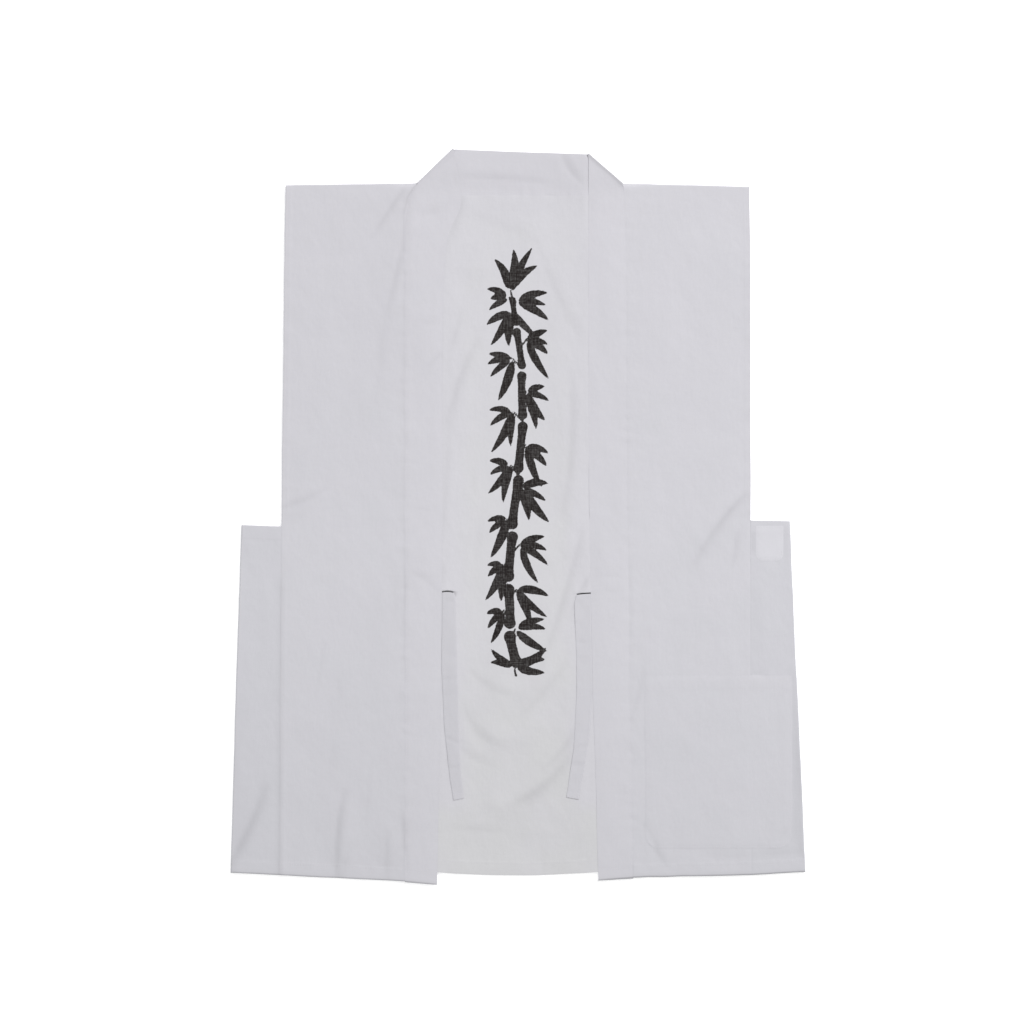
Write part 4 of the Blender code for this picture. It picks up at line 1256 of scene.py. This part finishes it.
def band_shade(plan):
    """Shade of the collar band."""
    x, y = plan[..., 0], plan[..., 1]
    lines = []
    for side in (LEFT, RIGHT):
        share = SEAM_SHADE * seam_share(side, y) * (y < side.rows[0].seam_y)
        lines.append((x - column_at(side.rows, "seam", y), share, SEAM_SHADE_RUN))
        lines.append((y - foot_at(side, x), FOOT_SHADE[side.name] * (side.sign * x > 0), RIM_SHADE_RUN))
        row = side.rows[0]
        fold = (row.seam_x, row.seam_y), (row.free_x, row.free_y)
        lines.append((y - line_at(fold, x), SLANT_SHADE[side.name], SLANT_SHADE_RUN))
    behind_neck = smooth((y - NECK_SHADE_FROM) / NECK_SHADE_FADE)
    return shade_of(plan, BAND_CREASES, *lines) + NECK_SHADE * behind_neck


def up_to_neck(side, shares):
    """Outer and inner points of the collar from a front's hem up to the neck, and round the slanting fold."""
    upper, lower = front_stretch(side, shares)
    _, _, outward = band_fold(side)
    angles = np.linspace(pi / 2, -pi / 2, FOLD_STEPS + 1)
    turn_outer, turn_inner = half_turn(upper[0, :, :2], outward, BAND_WALL, BAND_SHEET, angles)
    return np.concatenate([upper[:0:-1], turn_outer]), np.concatenate([lower[:0:-1], turn_inner])


def make_collar():
    """The collar: one strip of doubled cloth up the left front, behind the neck and down the right front."""
    shares = stations(BAND_WIDTH, STEP, BAND_STITCH) / BAND_WIDTH
    left_outer, left_inner = up_to_neck(LEFT, shares)
    right_outer, right_inner = up_to_neck(RIGHT, shares)
    neck = neck_stretch(shares)
    under = neck - (0, 0, BAND_SHEET)
    under[..., 2] = np.maximum(under[..., 2], 0)
    outer = np.concatenate([left_outer, under, right_outer[::-1]])
    inner = np.concatenate([left_inner, neck, right_inner[::-1]])
    band = shell("collar_band", outer, inner, {"shade": band_shade(outer[..., :2])})
    dress(band, MATERIALS["band"], "band_cotton", "collar_left", "collar_neck", "collar_right")
    return band, collar_stitches()


def collar_stitches():
    """The stitches beside the collar's seam, and across its ends."""
    share = np.array((BAND_STITCH / BAND_WIDTH,))
    lines = [(front_stretch(side, share)[0][BAND_SKIP:, 0], 1) for side in (LEFT, RIGHT)]
    lines.append((neck_stretch(share)[NECK_SKIP:-NECK_SKIP, 0], 1))
    for side in (LEFT, RIGHT):
        surface, _ = front_stretch(side, np.linspace(*BAND_HEM_SPAN))
        lines.append((hem_line(surface, HEM), 1))
    return stitches("stitches_collar", lines, 3)


def hem_line(surface, width):
    """The surface's row of points along the stitches of the hem at its end."""
    from_end = surface[:, 0, 1] - surface[-1, 0, 1]
    return surface[np.argmin(np.abs(from_end - width + STITCH_IN))]


# The ties

def tie_surface(side, shares):
    """Upper and lower face of a tie, from its sewn top to its free end."""
    first, last = side.tie[0].y - SLIT_SHOWN, side.tie[-1].y
    marks = first - stations(first - last, TIE_ROW, first - last - TIE_HEM)
    outer, inner = read(side.tie, "y", marks, "outer_x", "inner_x").T
    beside_band = column_at(side.rows, "free", marks) - side.sign * TIE_CLEARANCE
    outer = side.sign * np.minimum(side.sign * outer, side.sign * beside_band)
    plan = columns_between(np.column_stack([outer, marks]), np.column_stack([inner, marks]), shares)
    width = np.abs(outer - inner)[:, None]
    down, up = (first - marks)[:, None], (marks - last)[:, None]
    plan[..., 1] -= slit_drop(side, plan[..., 0]) * np.exp(-((down / TIE_LEAN_RUN) ** 2))
    plan[..., 1] += TIE_END_LEAN * (shares - 0.5) * np.exp(-((up / TIE_LEAN_RUN) ** 2))
    ripple = sum(high * drift(plan, size, side.seed + draw) for high, size, draw in TIE_RIPPLES)
    carried = np.maximum(back_height(plan, slits=False) + CLEARANCE, ON_BACK - TIE_SINK)
    height = carried + TIE_SHEET + ripple * smooth(up / TIE_END_CALM)
    height += TIE_RISE * np.exp(-((down / TIE_RISE_RUN) ** 2))
    height += TIE_HEM_STEP * smooth((TIE_HEM - up) / STEP_RUN) + creases_at(plan, TIE_CREASES)
    height = height - rolled(shares * width) - rolled((1 - shares) * width) - 0.5 * rolled(up)
    return with_height(plan, height), with_height(plan, np.maximum(height - TIE_SHEET, carried))


def make_tie(side):
    """A narrow folded tie, sewn at the band's free edge, with a stitched free end."""
    width = abs(side.tie[0].outer_x - side.tie[0].inner_x)
    upper, lower = tie_surface(side, stations(width, TIE_COLUMN, TIE_DENSE) / width)
    shade = shade_of(upper[..., :2], TIE_CREASES) + TIE_SHADE[side.name]
    tie = shell(f"tie_ribbon_{side.name}", upper, lower, {"shade": shade})
    dress(tie, MATERIALS["tie"], "tie_cotton", f"tie_{side.name}")
    beside_edge, _ = tie_surface(side, np.array((TIE_STITCH / width,)))
    surface, _ = tie_surface(side, np.linspace(*TIE_HEM_SPAN))
    lines = [(beside_edge[TIE_SKIP:-TIE_SKIP, 0], 1), (hem_line(surface, TIE_HEM), 1)]
    return tie, stitches(f"stitches_tie_{side.name}", lines, side.seed + 2)


# The pocket and the label

def patch_faces(patch, plan):
    """Heights of a patch's upper and lower face. It follows the cloth that it is sewn on."""
    x, y = plan[..., 0], plan[..., 1]
    from_side, from_top = np.minimum(x - patch.left, patch.right - x), patch.top - y
    from_edge = np.maximum(np.minimum(np.minimum(from_side, y - patch.bottom), from_top), 0)
    carried = np.maximum(gusset_height(RIGHT, plan), front_height(RIGHT, plan) if patch is POCKET else 0)
    relief = creases_at(plan, POCKET_CREASES) + PATCH_SLACK * slack(plan, PATCH_SEED)
    within = smooth(from_edge / PATCH_RUN)
    lift = PATCH_EDGE + PATCH_LIFT * within + np.maximum(relief * smooth(from_edge / PATCH_CALM), 0)
    if patch.hem:
        lift += PATCH_HEM_SHARE * HEM_STEP * smooth((patch.hem - from_top) / STEP_RUN + 0.5) * within
        lift -= dent(from_top, patch.hem - STITCH_IN) * within
    top = carried + lift
    return top, np.maximum(top - patch.sheet, carried + PATCH_GAP * PATCH_EDGE)


def patch_plan(patch):
    """Plan points of a patch, with rounded lower corners."""
    straight = patch.top - (patch.bottom + patch.corner)
    down = stations(straight, STEP, *((patch.hem,) if patch.hem else ()))
    turns = np.linspace(0, pi / 2, CORNER_STEPS + 1)[1:]
    marks = patch.top - np.array([*down, *(straight + patch.corner * np.sin(turns))])
    inset = np.concatenate([np.zeros(len(down)), patch.corner * (1 - np.cos(turns))])
    edges = np.column_stack([patch.left + inset, marks]), np.column_stack([patch.right - inset, marks])
    width = patch.right - patch.left
    return columns_between(*edges, stations(width, STEP) / width)


def make_patch(patch, name, material, slot, seed):
    """A flat patch, sewn on round its edge."""
    plan = patch_plan(patch)
    top, under = patch_faces(patch, plan)
    piece = shell(name, with_height(plan, top), with_height(plan, under), {"shade": patch_shade(patch, plan)})
    dress(piece, material, slot, patch.name)
    lines = [patch_outline(patch)]
    if patch.hem:
        stitched, margin = patch.top - patch.hem + STITCH_IN, 0.003
    else:
        stitched, margin = patch.top - PATCH_STITCH, 0.002
    lines.append(sampled((patch.left + margin, stitched), (patch.right - margin, stitched)))
    raised = [(with_height(line, patch_faces(patch, line)[0]), 1) for line in lines]
    return piece, stitches(f"stitches_{patch.name}", raised, seed)


def patch_shade(patch, plan):
    """Shade of a patch: of its creases, of its edge and of the stitches of its hem."""
    x, y = plan[..., 0], plan[..., 1]
    if not patch.hem:
        return np.zeros(x.shape)
    from_edge = np.minimum(np.minimum(x - patch.left, patch.right - x), y - patch.bottom)
    from_stitches = patch.top - patch.hem + STITCH_IN - y
    lines = (
        (from_edge, POCKET_SHADE, POCKET_SHADE_RUN),
        (from_stitches, 3 * POCKET_SHADE, POCKET_SHADE_RUN),
    )
    return shade_of(plan, POCKET_CREASES, *lines)


def patch_outline(patch):
    """Plan points of the stitches down one side of a patch, along its foot and up the other."""
    left, right, low = patch.left + PATCH_STITCH, patch.right - PATCH_STITCH, patch.bottom + PATCH_STITCH
    high, radius = patch.top - PATCH_STITCH / 2, patch.corner - PATCH_STITCH
    turns = np.linspace(0, pi / 2, CORNER_STEPS // 2 + 1)
    turned_in, turned_y = radius * (1 - np.cos(turns)), low + radius * (1 - np.sin(turns))
    return np.concatenate([
        sampled((left, high), (left, low + radius))[:-1],
        np.column_stack([left + turned_in, turned_y]),
        sampled((left + radius, low), (right - radius, low))[1:-1],
        np.column_stack([right - turned_in, turned_y])[::-1],
        sampled((right, low + radius), (right, high))[1:],
    ])


# The ink: bamboo in brush strokes

INK_HALF = 0.0420
INK_TOP, INK_LOW = 0.3140, -0.1900
NO_INK = -0.006
Stroke = namedtuple("Stroke", "start middle end half_width shape")
BRUSH_STEP, BRUSH_LEAST = 0.0012, 8  # between the points of a stroke, and how many steps it has at least

# Shapes of strokes: shares of the way along, and shares of half the width there
LEAF = (0, 0.06, 0.20, 0.42, 0.70, 0.88, 1), (0.30, 0.62, 0.95, 1.0, 0.74, 0.44, 0.12)
CULM = (0, 0.08, 0.22, 0.78, 0.92, 1), (1.12, 1.0, 0.88, 0.88, 1.0, 1.12)
TWIG = (0, 1), (1.0, 0.7)
WIDEST = 1.15  # more than the largest of those shares

INK_SEED = 12
INK_STRAY = 0.0015
LEAF_HALF = 0.0050
LEAF_HALVES = 0.86, 1.12  # shares of it, between which the leaves vary
LEAF_LEAST, LEAF_GAIN = 0.62, 0.11  # a leaf's least share of it, and the length that adds 1 to that share
LEAF_TURN = 4  # degrees
LEAF_GAP = 0.004  # from the foot of a spray to its leaves
LEAST_OUT = 0.1  # a leaf that points up or down isn't shortened
INK_REACH = 0.031, 0.037  # how far to each side the leaves go
TWIG_HALF = 0.0015
TWIG_RISE = 0.010  # from where a twig leaves the culm up to its spray
TWIG_SAG = 0.002

# The culm's joints from its foot up, with half its width above each
CULM_JOINTS = (
    (-0.0020, -0.1760, 0.0064),
    (-0.0090, -0.1310, 0.0062),
    (-0.0105, -0.0760, 0.0059),
    (-0.0060, -0.0150, 0.0057),
    (0.0010, 0.0500, 0.0054),
    (0.0060, 0.1120, 0.0050),
    (0.0050, 0.1700, 0.0044),
    (-0.0010, 0.2200, 0.0036),
    (-0.0060, 0.2560, 0.0030),
)
JOINT_GAP = 0.0020

# Sprays of leaves: where each starts, then the angle, length and bend of its leaves
Spray = namedtuple("Spray", "x y leaves")
SPRAYS = (
    Spray(-0.008, 0.262, ((62, 0.052, -0.10), (88, 0.044, 0.14), (118, 0.036, 0.20), (38, 0.044, -0.18))),
    Spray(-0.010, 0.254, ((160, 0.030, 0.22), (188, 0.033, 0.16), (214, 0.034, 0.10))),
    Spray(-0.002, 0.250, ((12, 0.042, -0.16), (-10, 0.046, -0.12), (-34, 0.040, -0.08))),
    Spray(-0.006, 0.238, ((236, 0.042, -0.08), (262, 0.036, 0.12), (205, 0.034, 0.14), (-50, 0.038, 0.10))),
    Spray(0.010, 0.206, ((-8, 0.030, -0.20), (-36, 0.042, -0.12), (-60, 0.048, 0.08), (24, 0.024, -0.10))),
    Spray(-0.006, 0.184, ((196, 0.028, 0.18), (222, 0.040, 0.10), (248, 0.046, -0.08), (168, 0.024, 0.10))),
    Spray(0.010, 0.146, ((-22, 0.026, -0.16), (-52, 0.046, 0.10), (-76, 0.040, -0.10), (14, 0.024, -0.18))),
    Spray(-0.004, 0.122, ((178, 0.032, 0.22), (210, 0.036, 0.12), (238, 0.050, -0.10), (262, 0.036, 0.08))),
    Spray(0.009, 0.084, ((-14, 0.028, -0.18), (-42, 0.040, -0.10), (-66, 0.048, 0.10))),
    Spray(-0.008, 0.060, ((206, 0.027, 0.16), (232, 0.044, -0.10), (256, 0.040, 0.10), (172, 0.024, 0.16))),
    Spray(0.004, 0.034, ((4, 0.034, -0.20), (-26, 0.038, -0.12), (-54, 0.048, 0.08), (-78, 0.036, -0.10))),
    Spray(-0.012, -0.002, ((188, 0.025, 0.20), (218, 0.030, 0.12), (244, 0.046, -0.08))),
    Spray(0.002, -0.032, ((-10, 0.034, -0.18), (-38, 0.046, -0.10), (-64, 0.044, 0.12), (20, 0.028, -0.14))),
    Spray(-0.015, -0.054, ((182, 0.023, 0.16), (214, 0.027, 0.14), (240, 0.042, -0.10), (264, 0.040, 0.08))),
    Spray(-0.002, -0.084, ((-16, 0.038, -0.16), (-44, 0.048, 0.10), (-70, 0.040, -0.10))),
    Spray(-0.016, -0.108, ((196, 0.022, 0.16), (226, 0.032, 0.10), (252, 0.046, -0.10))),
    Spray(-0.003, -0.130, ((-6, 0.040, -0.18), (-34, 0.044, 0.10), (18, 0.034, -0.16))),
    Spray(-0.004, -0.174, (
        (10, 0.040, -0.14), (34, 0.038, 0.14), (168, 0.034, 0.16), (142, 0.030, -0.14), (-12, 0.034, 0.10),
    )),
)


def ink_strokes():
    """The strokes of the motif."""
    rng = np.random.default_rng(INK_SEED)
    strokes = []
    for (x0, y0, half), (x1, y1, _) in zip(CULM_JOINTS, CULM_JOINTS[1:]):
        margin = half * CULM[1][0] + JOINT_GAP / 2
        low, high = np.array((x0, y0 + margin)), np.array((x1, y1 - margin))
        bow = (low + high) / 2 + (rng.uniform(-INK_STRAY, INK_STRAY), 0)
        strokes.append(Stroke(low, bow, high, half, CULM))
    joints_x, joints_y, _ = np.array(CULM_JOINTS).T
    for spray in SPRAYS:
        foot = np.array((spray.x, spray.y))
        for angle, length, bend in spray.leaves:
            turn = radians(angle + rng.uniform(-LEAF_TURN, LEAF_TURN))
            way = np.array((cos(turn), sin(turn)))
            start = foot + way * LEAF_GAP + rng.uniform(-INK_STRAY, INK_STRAY, 2)
            length = min(length, (rng.uniform(*INK_REACH) - abs(start[0])) / max(abs(way[0]), LEAST_OUT))
            middle = start + way * length / 2 - np.array((-way[1], way[0])) * bend * length
            half = LEAF_HALF * rng.uniform(*LEAF_HALVES) * (LEAF_LEAST + length / LEAF_GAIN)
            strokes.append(Stroke(start, middle, start + way * length, half, LEAF))
        below = spray.y - TWIG_RISE
        culm = np.array((np.interp(below, joints_y, joints_x), below))
        strokes.append(Stroke(culm, (culm + foot) / 2 - (0, TWIG_SAG), foot, TWIG_HALF, TWIG))
    return strokes


def ink_at(plan):
    """How far each plan point lies inside the nearest brush stroke, negative outside all of them."""
    flat = plan.reshape(-1, 2)
    inside = np.full(len(flat), NO_INK)
    for stroke in ink_strokes():
        steps = max(BRUSH_LEAST, ceil(np.linalg.norm(stroke.end - stroke.start) / BRUSH_STEP))
        curve = curve_of(stroke, steps)
        half = stroke.half_width * np.interp(np.linspace(0, 1, steps + 1), *stroke.shape)
        reach = stroke.half_width * WIDEST - NO_INK
        near = np.all((flat > curve.min(axis=0) - reach) & (flat < curve.max(axis=0) + reach), axis=1)
        distance = np.linalg.norm(flat[near][:, None] - curve, axis=-1)
        inside[near] = np.maximum(inside[near], (half - distance).max(axis=1))
    return inside.reshape(plan.shape[:-1])


# Materials

# A cloth's colours at its top and at its foot, the height of its small crumples and the strength of its
# grain, then the width and the height of its yarns, its roughness and its sheen
Cotton = namedtuple(
    "Cotton", "top low crumple grain yarn weave roughness sheen", defaults=(0.00042, 0.000024, 0.90, 0.15),
)
LABEL_WHITE = 0.584, 0.579, 0.615
THREAD_WHITE = 0.574, 0.570, 0.606
COTTONS = {
    "back": Cotton((0.578, 0.571, 0.602), (0.575, 0.574, 0.587), 0.00022, 0.018),
    "body": Cotton((0.560, 0.552, 0.588), (0.551, 0.548, 0.581), 0.00020, 0.016),
    "gusset": Cotton((0.546, 0.540, 0.577), (0.545, 0.544, 0.576), 0.00020, 0.016),
    "band": Cotton((0.569, 0.560, 0.597), (0.558, 0.553, 0.587), 0.00018, 0.016),
    "tie": Cotton((0.556, 0.549, 0.584), (0.552, 0.547, 0.581), 0.00016, 0.016),
    "label": Cotton(LABEL_WHITE, LABEL_WHITE, 0.00014, 0.014, 0.00030, 0.000012, 0.75, 0.25),
    "thread": Cotton(THREAD_WHITE, THREAD_WHITE, 0.00001, 0.014, 0.00025, 0.000016, 0.80, 0.20),
}
SPECULAR = 0.25
SHEEN_ROUGHNESS = 0.5
ROUGHNESS_GRAIN = 0.08

# Sizes of the unevenness along X, Y and Z
WARP_CELL, WEFT_CELL = (0.0012, 0.016, 0.01), (0.016, 0.0012, 0.01)
FLECK_CELL = 0.0024, 0.0024, 0.01
MOTTLE_CELL = 0.006, 0.006, 0.01
CRUMPLE_CELL = 0.011, 0.015, 0.02
CLOUD_CELL = 0.05, 0.06, 0.05
BESIDE_CELL = 0.05, 0.05, 0.05
TINT_CELL = 0.07, 0.07, 0.07
BLEED_CELL = 0.0022, 0.0022, 0.01

# How much of each there is
FLECK = 1.6  # to 1 of grain
SLUB_HEIGHT = 0.8  # to 1 of weave
CLOUD = 0.035
MOTTLE = 0.018
WEAVE_LIGHT = 0.05
TINT_NOISE = 1.6
TINT_RUN = 0.9  # length of the robe over which its tint changes
TINT_MIDDLE = 0.4  # share of the foot's tint at Y = 0
LIGHTER_MIDDLE, LIGHTER_MIDDLE_RUN = 0.040, 0.20  # painted light: the middle of its length is painted a little lighter, over about this length
LIGHTER_MIDDLE_Y = -0.06  # round this Y

# The back takes the bands' tint beside them and at the neck, but not along the foot
BESIDE_TINT = 0.576, 0.569, 0.602
BESIDE_FROM_TO = 0.050, 0.074  # distances from the middle
BESIDE_WAVER = 0.03
BESIDE_FOOT = -0.350, -0.325
BESIDE_NECK = 0.325, 0.360

INK = 0.0092, 0.0060, 0.0054
DRY_INK = 0.0820, 0.0785, 0.0780
DRY, DRY_GRAIN = 0.22, 1.6  # share of dry ink, and how much the grain changes it
BLEED = 0.0007
INK_EDGE = -0.00025, 0.00035
MIX_FIRST, MIX_SECOND, MIX_RESULT = 6, 7, 2  # the colour sockets of a mix node


def fill(tree, node, inputs):
    """Gives a node values or links for its numbered or named inputs."""
    for name, value in inputs.items():
        if isinstance(value, bpy.types.NodeSocket):
            tree.links.new(value, node.inputs[name])
        else:
            node.inputs[name].default_value = value


def add(tree, kind, inputs=(), **settings):
    """A new node with its settings and inputs."""
    made = tree.nodes.new(kind)
    for name, value in settings.items():
        setattr(made, name, value)
    fill(tree, made, dict(inputs))
    return made


def math(tree, operation, *values):
    """A sum, product or other result of two or three values."""
    return add(tree, "ShaderNodeMath", dict(enumerate(values)), operation=operation).outputs[0]


def mixed(tree, share, first, second):
    """A mix of two colours."""
    made = add(tree, "ShaderNodeMix", {0: share, MIX_FIRST: first, MIX_SECOND: second}, data_type="RGBA")
    return made.outputs[MIX_RESULT]


def soft_step(tree, value, low, high):
    """Runs softly from 0 to 1 as the value passes from low to high."""
    inputs = {"Value": value, "From Min": low, "From Max": high}
    return add(tree, "ShaderNodeMapRange", inputs, interpolation_type="SMOOTHSTEP").outputs[0]


def noise(tree, place, cell, detail=2.0):
    """Noise around 0, in cells of this size along X, Y and Z."""
    placing = {"Vector": place, "Scale": [1 / size for size in cell]}
    scaled = add(tree, "ShaderNodeMapping", placing).outputs[0]
    looks = {"Vector": scaled, "Scale": 1.0, "Detail": detail, "Roughness": 0.55}
    return math(tree, "SUBTRACT", add(tree, "ShaderNodeTexNoise", looks).outputs["Fac"], 0.5)


def yarns(tree, place, axis, pitch):
    """Height of the yarns side by side along one axis, from 0 to 1."""
    scale = 2 * pi / 20 / pitch  # a wave node of scale 1 has 20 waves in 2 pi units
    looks = {"Vector": place, "Scale": scale, "Distortion": 0.8, "Detail": 1.0, "Detail Scale": 0.6}
    return add(tree, "ShaderNodeTexWave", looks, bands_direction=axis).outputs["Fac"]


def tint_at(tree, place, y, look):
    """The cloth's colour before its grain, which changes softly from its top to its foot."""
    down = math(tree, "MULTIPLY_ADD", y, -1 / TINT_RUN, TINT_MIDDLE)
    down = math(tree, "MULTIPLY_ADD", noise(tree, place, TINT_CELL), TINT_NOISE, down)
    share = add(tree, "ShaderNodeClamp", {"Value": down}).outputs[0]
    return mixed(tree, share, (*look.top, 1), (*look.low, 1))


def light_at(tree, place, y, look, weave, slub, fleck):
    """How light the cloth is, from its grain, its unevenness and the shade in its creases."""
    light = math(tree, "MULTIPLY_ADD", slub, look.grain, 1.0)
    light = math(tree, "MULTIPLY_ADD", fleck, look.grain * FLECK, light)
    light = math(tree, "MULTIPLY_ADD", noise(tree, place, CLOUD_CELL, detail=3.0), CLOUD, light)
    light = math(tree, "MULTIPLY_ADD", noise(tree, place, MOTTLE_CELL), MOTTLE, light)
    light = math(tree, "MULTIPLY_ADD", weave, WEAVE_LIGHT, light)
    light = math(tree, "SUBTRACT", light, WEAVE_LIGHT / 4)
    shade = add(tree, "ShaderNodeAttribute", attribute_name="shade").outputs["Fac"]
    light = math(tree, "MULTIPLY", light, math(tree, "SUBTRACT", 1.0, shade))
    # painted light: the middle of the robe's length is made a little lighter
    apart = math(tree, "MULTIPLY_ADD", y, 1 / LIGHTER_MIDDLE_RUN, -LIGHTER_MIDDLE_Y / LIGHTER_MIDDLE_RUN)
    lighter_middle = math(tree, "DIVIDE", LIGHTER_MIDDLE, math(tree, "MULTIPLY_ADD", apart, apart, 1.0))
    return math(tree, "MULTIPLY", light, math(tree, "ADD", 1.0, lighter_middle))


def bump_at(tree, place, look, weave, slub):
    """The cloth's normal, with its weave, its slubs and its small crumples."""
    height = math(tree, "MULTIPLY", weave, look.weave)
    height = math(tree, "MULTIPLY_ADD", slub, look.weave * SLUB_HEIGHT, height)
    crumples = noise(tree, place, CRUMPLE_CELL, detail=4.0)
    height = math(tree, "MULTIPLY_ADD", crumples, look.crumple * 2, height)
    return add(tree, "ShaderNodeBump", {"Height": height, "Strength": 1.0, "Distance": 1.0}).outputs[0]


def cotton(name, look):
    """A matt plain-weave cotton. The back's takes the bands' tint beside them, and the ink."""
    material = bpy.data.materials.new(name)
    material.use_nodes = True
    tree = material.node_tree
    place = add(tree, "ShaderNodeTexCoord").outputs["Object"]
    y = add(tree, "ShaderNodeSeparateXYZ", {"Vector": place}).outputs["Y"]
    slub = math(tree, "ADD", noise(tree, place, WARP_CELL), noise(tree, place, WEFT_CELL))
    fleck = noise(tree, place, FLECK_CELL, detail=3.0)
    weave = math(tree, "MULTIPLY", yarns(tree, place, "X", look.yarn), yarns(tree, place, "Y", look.yarn))
    tint = tint_at(tree, place, y, look)
    if name == "back":
        tint = mixed(tree, beside_bands(tree, place), tint, (*BESIDE_TINT, 1))
    light = light_at(tree, place, y, look, weave, slub, fleck)
    colour = add(tree, "ShaderNodeVectorMath", {"Vector": tint, "Scale": light}, operation="SCALE").outputs[0]
    if name == "back":
        colour = inked(tree, place, colour, fleck, slub)
    fill(tree, tree.nodes["Principled BSDF"], {
        "Base Color": colour,
        "Normal": bump_at(tree, place, look, weave, slub),
        "Roughness": math(tree, "MULTIPLY_ADD", fleck, ROUGHNESS_GRAIN, look.roughness),
        "Specular IOR Level": SPECULAR,
        "Sheen Weight": look.sheen,
        "Sheen Roughness": SHEEN_ROUGHNESS,
    })
    return material


def beside_bands(tree, place):
    """1 where the back has the bands' tint, and 0 where it has its own."""
    apart = add(tree, "ShaderNodeSeparateXYZ", {"Vector": place}).outputs
    out = math(tree, "ABSOLUTE", apart["X"])
    out = math(tree, "MULTIPLY_ADD", noise(tree, place, BESIDE_CELL), BESIDE_WAVER, out)
    wide = soft_step(tree, out, *BESIDE_FROM_TO)
    sides = math(tree, "MULTIPLY", wide, soft_step(tree, apart["Y"], *BESIDE_FOOT))
    return math(tree, "MAXIMUM", sides, soft_step(tree, apart["Y"], *BESIDE_NECK))


def inked(tree, place, colour, fleck, slub):
    """The cloth's colour under the ink, which bleeds a little along the yarns and is thinner in places."""
    depth = add(tree, "ShaderNodeAttribute", attribute_name="ink").outputs["Fac"]
    ragged = math(tree, "MULTIPLY_ADD", noise(tree, place, BLEED_CELL, detail=3.0), BLEED * 2, depth)
    dry = math(tree, "MULTIPLY_ADD", math(tree, "ADD", fleck, slub), DRY_GRAIN, DRY)
    ink = mixed(tree, dry, (*INK, 1), (*DRY_INK, 1))
    return mixed(tree, soft_step(tree, ragged, *INK_EDGE), colour, ink)


# The studio

FRAME_WIDTH = 1.1878  # what the picture's width covers at the robe
CAMERA_X, CAMERA_Y = -0.0064, 0.0058
LENS, SENSOR = 85, 36
WORLD_STRENGTH = 0.58
Lamp = namedtuple("Lamp", "name place size power")
LAMPS = (
    Lamp("key", (3.0, 4.0, 3.6), 2.6, 320),
    Lamp("fill", (-3.2, -2.0, 4.2), 3.0, 30),
)
WHITE = 1, 1, 1, 1
FLOOR_PAINT = {
    "Base Color": (0.99, 0.99, 0.99, 1),
    "Roughness": 0.9,
    "Specular IOR Level": 0.0,
    "Emission Color": WHITE,
    "Emission Strength": 0.35,  # hides the cloth's faint shadow, as on the photo's plain white
}
FLOOR_REACH = 20
FLOOR_Z = -0.0006
CLIP_END = 100


def make_world():
    """Even white light from all round."""
    world = bpy.data.worlds.new("studio")
    world.use_nodes = True
    light = {"Color": WHITE, "Strength": WORLD_STRENGTH}
    fill(world.node_tree, world.node_tree.nodes["Background"], light)
    bpy.context.scene.world = world


def make_lamp(lamp):
    """A soft square light that points at the robe."""
    light = bpy.data.lights.new(lamp.name, "AREA")
    light.size, light.energy = lamp.size, lamp.power
    holder = placed(lamp.name, light, lamp.place)
    holder.rotation_euler = (-Vector(lamp.place)).to_track_quat("-Z", "Y").to_euler()


def make_floor():
    """The plain white surface that the robe lies on."""
    data = bpy.data.meshes.new("floor")
    signs = (-1, -1), (1, -1), (1, 1), (-1, 1)
    data.from_pydata([(x * FLOOR_REACH, y * FLOOR_REACH, FLOOR_Z) for x, y in signs], [], [(0, 1, 2, 3)])
    floor = placed("floor", data)
    paint = bpy.data.materials.new("floor")
    paint.use_nodes = True
    fill(paint.node_tree, paint.node_tree.nodes["Principled BSDF"], FLOOR_PAINT)
    data.materials.append(paint)


def make_camera():
    """The camera straight above."""
    camera = bpy.data.cameras.new("camera")
    camera.lens, camera.sensor_width = LENS, SENSOR
    camera.clip_end = CLIP_END
    holder = placed("camera", camera, (CAMERA_X, CAMERA_Y, FRAME_WIDTH * LENS / SENSOR))
    bpy.context.scene.camera = holder


def make_studio():
    """All that stands round the robe."""
    bpy.context.scene.view_settings.view_transform = "Standard"
    make_world()
    for lamp in LAMPS:
        make_lamp(lamp)
    make_floor()
    make_camera()


MATERIALS = {name: cotton(name, look) for name, look in COTTONS.items()}
make_studio()

back, back_thread = make_back()
collar, collar_thread = make_collar()
for side in (LEFT, RIGHT):
    front, thread = make_front(side)
    gusset, thread = make_gusset(side)
    tie, thread = make_tie(side)
pocket, thread = make_patch(POCKET, "patch_pocket", MATERIALS["body"], "body_cotton", 50)
label, thread = make_patch(LABEL, "blank_label", MATERIALS["label"], "label_cloth", 60)
